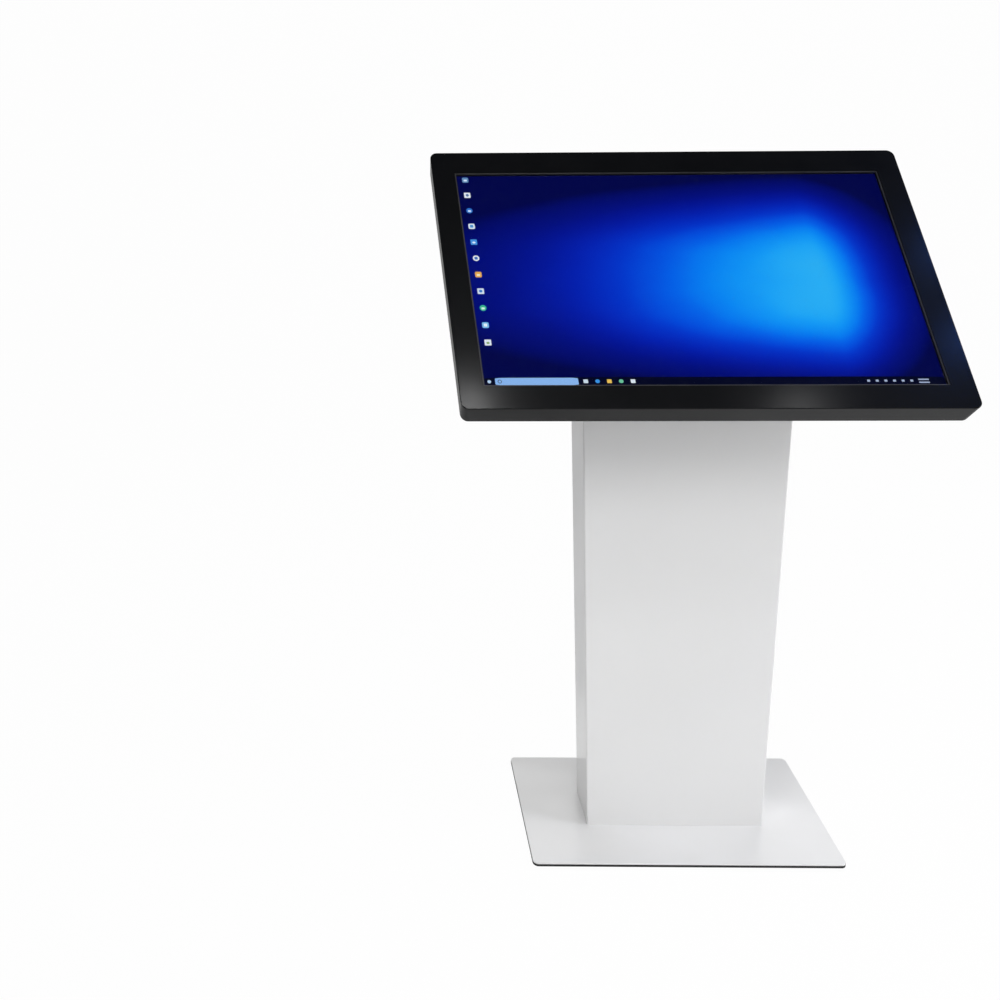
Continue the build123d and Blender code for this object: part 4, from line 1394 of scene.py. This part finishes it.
@dataclass
class Stage:
    """The pale floor and backdrop, the lamps and the camera."""

    floor_half: float = 7.0
    sweep_start: float = 2.2
    sweep_radius: float = 1.6
    sweep_top: float = 5.0
    sweep_steps: int = 24
    sweep_columns: int = 9
    camera_place: tuple[float, float, float] = (-0.5027, -1.5983, 1.4837)
    camera_pitch: float = 22.64
    camera_yaw: float = -1.121
    camera_roll: float = 0.501
    camera_focal: float = 0.98668
    camera_shift: tuple[float, float] = (0.12793, -0.05597)
    camera_skew: float = 0.09064
    wall_light: Colour = (0.26, 0.26, 0.26)
    wall_top: float = 0.5
    ceiling_start: float = 0.78
    ceiling_share: float = 0.03
    paper_seen: float = 0.975
    paper_near: float = 0.95
    paper_far: float = 0.5
    paper_reach: tuple[float, float] = (0.42, 0.5)
    lamps: list[SoftBox] = field(default_factory=list)

    def build(self) -> None:
        """Build everything that isn't the object."""
        scene = bpy.context.scene
        scene.view_settings.view_transform = "Standard"
        self._camera()
        self._sweep()
        self._world()
        for lamp in self.lamps:
            lamp.build()

    def _camera(self) -> None:
        """Place the camera, which looks down a little, with a slight sideways skew of its picture."""
        pitch, yaw, roll = (math.radians(a) for a in (self.camera_pitch, self.camera_yaw, self.camera_roll))
        level = math.cos(pitch)
        forward = Vector((math.sin(yaw) * level, math.cos(yaw) * level, -math.sin(pitch)))
        right = Vector((math.cos(yaw), -math.sin(yaw), 0.0))
        down = forward.cross(right)
        right, down = (
            math.cos(roll) * right + math.sin(roll) * down,
            math.cos(roll) * down - math.sin(roll) * right,
        )
        up = (self.camera_skew * right - down).normalized()
        place = Matrix((right, up, -forward)).transposed().to_4x4()
        place.translation = Vector(self.camera_place)
        data = bpy.data.cameras.new("camera")
        data.lens = self.camera_focal * data.sensor_width
        data.shift_x, data.shift_y = self.camera_shift
        data.clip_start, data.clip_end = 0.01, 50.0
        camera = bpy.data.objects.new("camera", data)
        stand = bpy.data.objects.new("camera_stand", None)
        for item in (camera, stand):
            bpy.context.scene.collection.objects.link(item)
        camera.parent = stand
        camera.matrix_parent_inverse = place
        bpy.context.scene.camera = camera

    def _sweep(self) -> None:
        """Floor and backdrop in one sheet: flat, then a quarter circle, then upright."""
        bend = np.linspace(0, math.pi / 2, self.sweep_steps)
        curve = self.sweep_start + self.sweep_radius * np.sin(bend)
        y = np.concatenate([[-self.floor_half], curve, curve[-1:]])
        z = np.concatenate([[0.0], self.sweep_radius * (1 - np.cos(bend)), [self.sweep_top]])
        x = np.linspace(-self.floor_half, self.floor_half, self.sweep_columns)
        grid_y, grid_x = np.meshgrid(y, x, indexing="ij")
        grid_z = np.repeat(z[:, None], len(x), axis=1)
        points = np.stack([grid_x, grid_y, grid_z], axis=-1)
        sheet = new_piece("studio_sweep", points, grid_faces(len(y), len(x)))
        sheet.data.materials.append(self._sweep_material())

    def _sweep_material(self) -> bpy.types.Material:
        """White paper that reads as white where it is seen, and keeps a soft shadow.

        Returns:
            The paper's material.
        """
        material, w, shader = start_material("studio_paper")
        shader.inputs["Base Color"].default_value = (0.86, 0.86, 0.86, 1.0)
        shader.inputs["Roughness"].default_value = 0.9
        shader.inputs["Specular IOR Level"].default_value = 0.1
        glow = w.add("ShaderNodeEmission")
        glow.inputs["Strength"].default_value = 1.0
        rays = w.add("ShaderNodeLightPath")
        straight = w.math("MAXIMUM", rays.outputs["Is Camera Ray"], rays.outputs["Is Transmission Ray"])
        seen = w.math("MULTIPLY", straight, self.paper_seen)
        away = w.add("ShaderNodeVectorMath", operation="LENGTH")
        w.feed(away.inputs[0], w.object_point())
        reflected = w.span(away.outputs["Value"], *self.paper_reach, self.paper_near, self.paper_far)
        mirrored = w.math("MULTIPLY", rays.outputs["Is Glossy Ray"], reflected)
        share = w.math("ADD", seen, mirrored, clamp=True)
        blend = w.add("ShaderNodeMixShader")
        w.feed(blend.inputs[0], share)
        w.feed(blend.inputs[1], shader.outputs[0])
        w.feed(blend.inputs[2], glow.outputs[0])
        sheet_out = material.node_tree.nodes["Material Output"]
        w.feed(sheet_out.inputs["Surface"], blend.outputs[0])
        return material

    def _world(self) -> None:
        """Even light from the walls under a dark ceiling, white where the camera looks past the sweep."""
        world = bpy.data.worlds.new("studio")
        bpy.context.scene.world = world
        world.use_nodes = True
        w = Wiring(world.node_tree)
        walls = world.node_tree.nodes["Background"]
        walls.inputs["Color"].default_value = (*self.wall_light, 1.0)
        ray = w.add("ShaderNodeSeparateXYZ")
        w.feed(ray.inputs[0], w.add("ShaderNodeTexCoord").outputs["Generated"])
        upward = w.span(ray.outputs["Z"], self.wall_top, self.ceiling_start, 1.0, self.ceiling_share)
        w.feed(walls.inputs["Strength"], upward)
        white = w.add("ShaderNodeBackground")
        white.inputs["Color"].default_value = (*WHITE, 1.0)
        seen = w.add("ShaderNodeLightPath").outputs["Is Camera Ray"]
        blend = w.add("ShaderNodeMixShader")
        w.feed(blend.inputs[0], seen)
        w.feed(blend.inputs[1], walls.outputs[0])
        w.feed(blend.inputs[2], white.outputs[0])
        w.feed(world.node_tree.nodes["World Output"].inputs["Surface"], blend.outputs[0])


def studio_lamps() -> list[SoftBox]:
    """Broad lamps all round, strongest in front and at the right, and small ones for the bezel's gleams.

    Returns:
        The lamps, not yet built.
    """
    waist = (0.0, 0.0, 0.6)
    face = (0.0, -0.1, 1.05)
    cool = (0.08, 0.25, 1.0)
    return [
        SoftBox("front_wall", (0.6, -4.2, 2.0), waist, 3.2, 2.2, 15.0),
        SoftBox("front_high", (0.4, -2.2, 3.2), waist, 2.6, 1.0, 23.0),
        SoftBox("left_high", (-1.6, -1.7, 3.2), (0.0, -0.1, 0.2), 1.2, 0.8, 26.0),
        SoftBox("left_wall", (-3.4, -0.8, 1.6), waist, 1.6, 2.4, 3.0),
        SoftBox("right_wall", (3.4, -0.6, 1.6), waist, 1.6, 2.4, 84.0),
        SoftBox("rear", (0.4, 1.9, 2.4), (0.0, 0.0, 0.8), 2.4, 1.2, 15.0),
        SoftBox("left_gleam", (-0.17, -1.04, 3.4), face, 0.12, 0.12, 4.8),
        SoftBox("middle_gleam", (1.18, -1.05, 3.4), face, 0.12, 0.12, 1.7),
        SoftBox("cool_gleam_low", (1.85, -0.72, 3.4), face, 0.12, 0.12, 1.9, cool),
        SoftBox("cool_gleam_high", (1.72, -0.36, 3.4), face, 0.12, 0.12, 1.6, cool),
        SoftBox("foot_fill", (-0.05, -0.85, 0.14), (0.0, -0.05, 0.1), 0.8, 0.12, 0.8, mirrored=False),
    ]


# ---- The kiosk ----------------------------------------------------------------


class Kiosk:
    """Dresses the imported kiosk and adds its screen's picture and its small fittings."""

    CELL_BORDER = 2.0 * MM
    CELL_THICKNESS = 2.0 * MM

    def __init__(self, frame: dict) -> None:
        """Keep the frame and build the materials."""
        self.frame = frame
        self.finishes = Finishes()

    def build(self) -> None:
        """Dress the nodes, then add the screen's picture, the seal, the lip of painted shade and the
        rocker's signs.
        """
        self.finishes.dress(self.frame)
        self._screen().build()
        DoorSeal(*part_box("door_seal")).build(self.finishes)
        BaseShadeLip(*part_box("base_plate")).build(self.finishes)
        pivot = next(j["pos_m"] for j in self.frame["joints"] if j["name"] == "rocker_tilt")
        RockerSigns(Vector(pivot)).build()

    def _screen(self) -> Screen:
        """The screen, sized and placed from the display cell and the tilt of the fan's axis.

        Returns:
            The screen, ready to build.
        """
        axis = next(j["axis"] for j in self.frame["joints"] if j["name"] == "fan_spin")
        plane = TiltedPlane.of_node(self.frame["nodes"]["lcd_cell"], Vector(axis))
        low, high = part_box("lcd_cell")
        length_share = abs(plane.upward.y)
        thickness_share = abs(plane.outward.y)
        length = (high.y - low.y - self.CELL_THICKNESS * thickness_share) / length_share
        width = high.x - low.x - 2 * self.CELL_BORDER
        height = length - 2 * self.CELL_BORDER
        return Screen(width, height, plane)


def main() -> None:
    """Load the frame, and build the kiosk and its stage."""
    logging.basicConfig(level=logging.INFO, format="%(name)s: %(message)s")
    bpy.ops.object.select_all(action="SELECT")
    bpy.ops.object.delete()
    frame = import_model()
    Stage(lamps=studio_lamps()).build()
    Kiosk(frame).build()


if __name__ == "__main__":
    main()
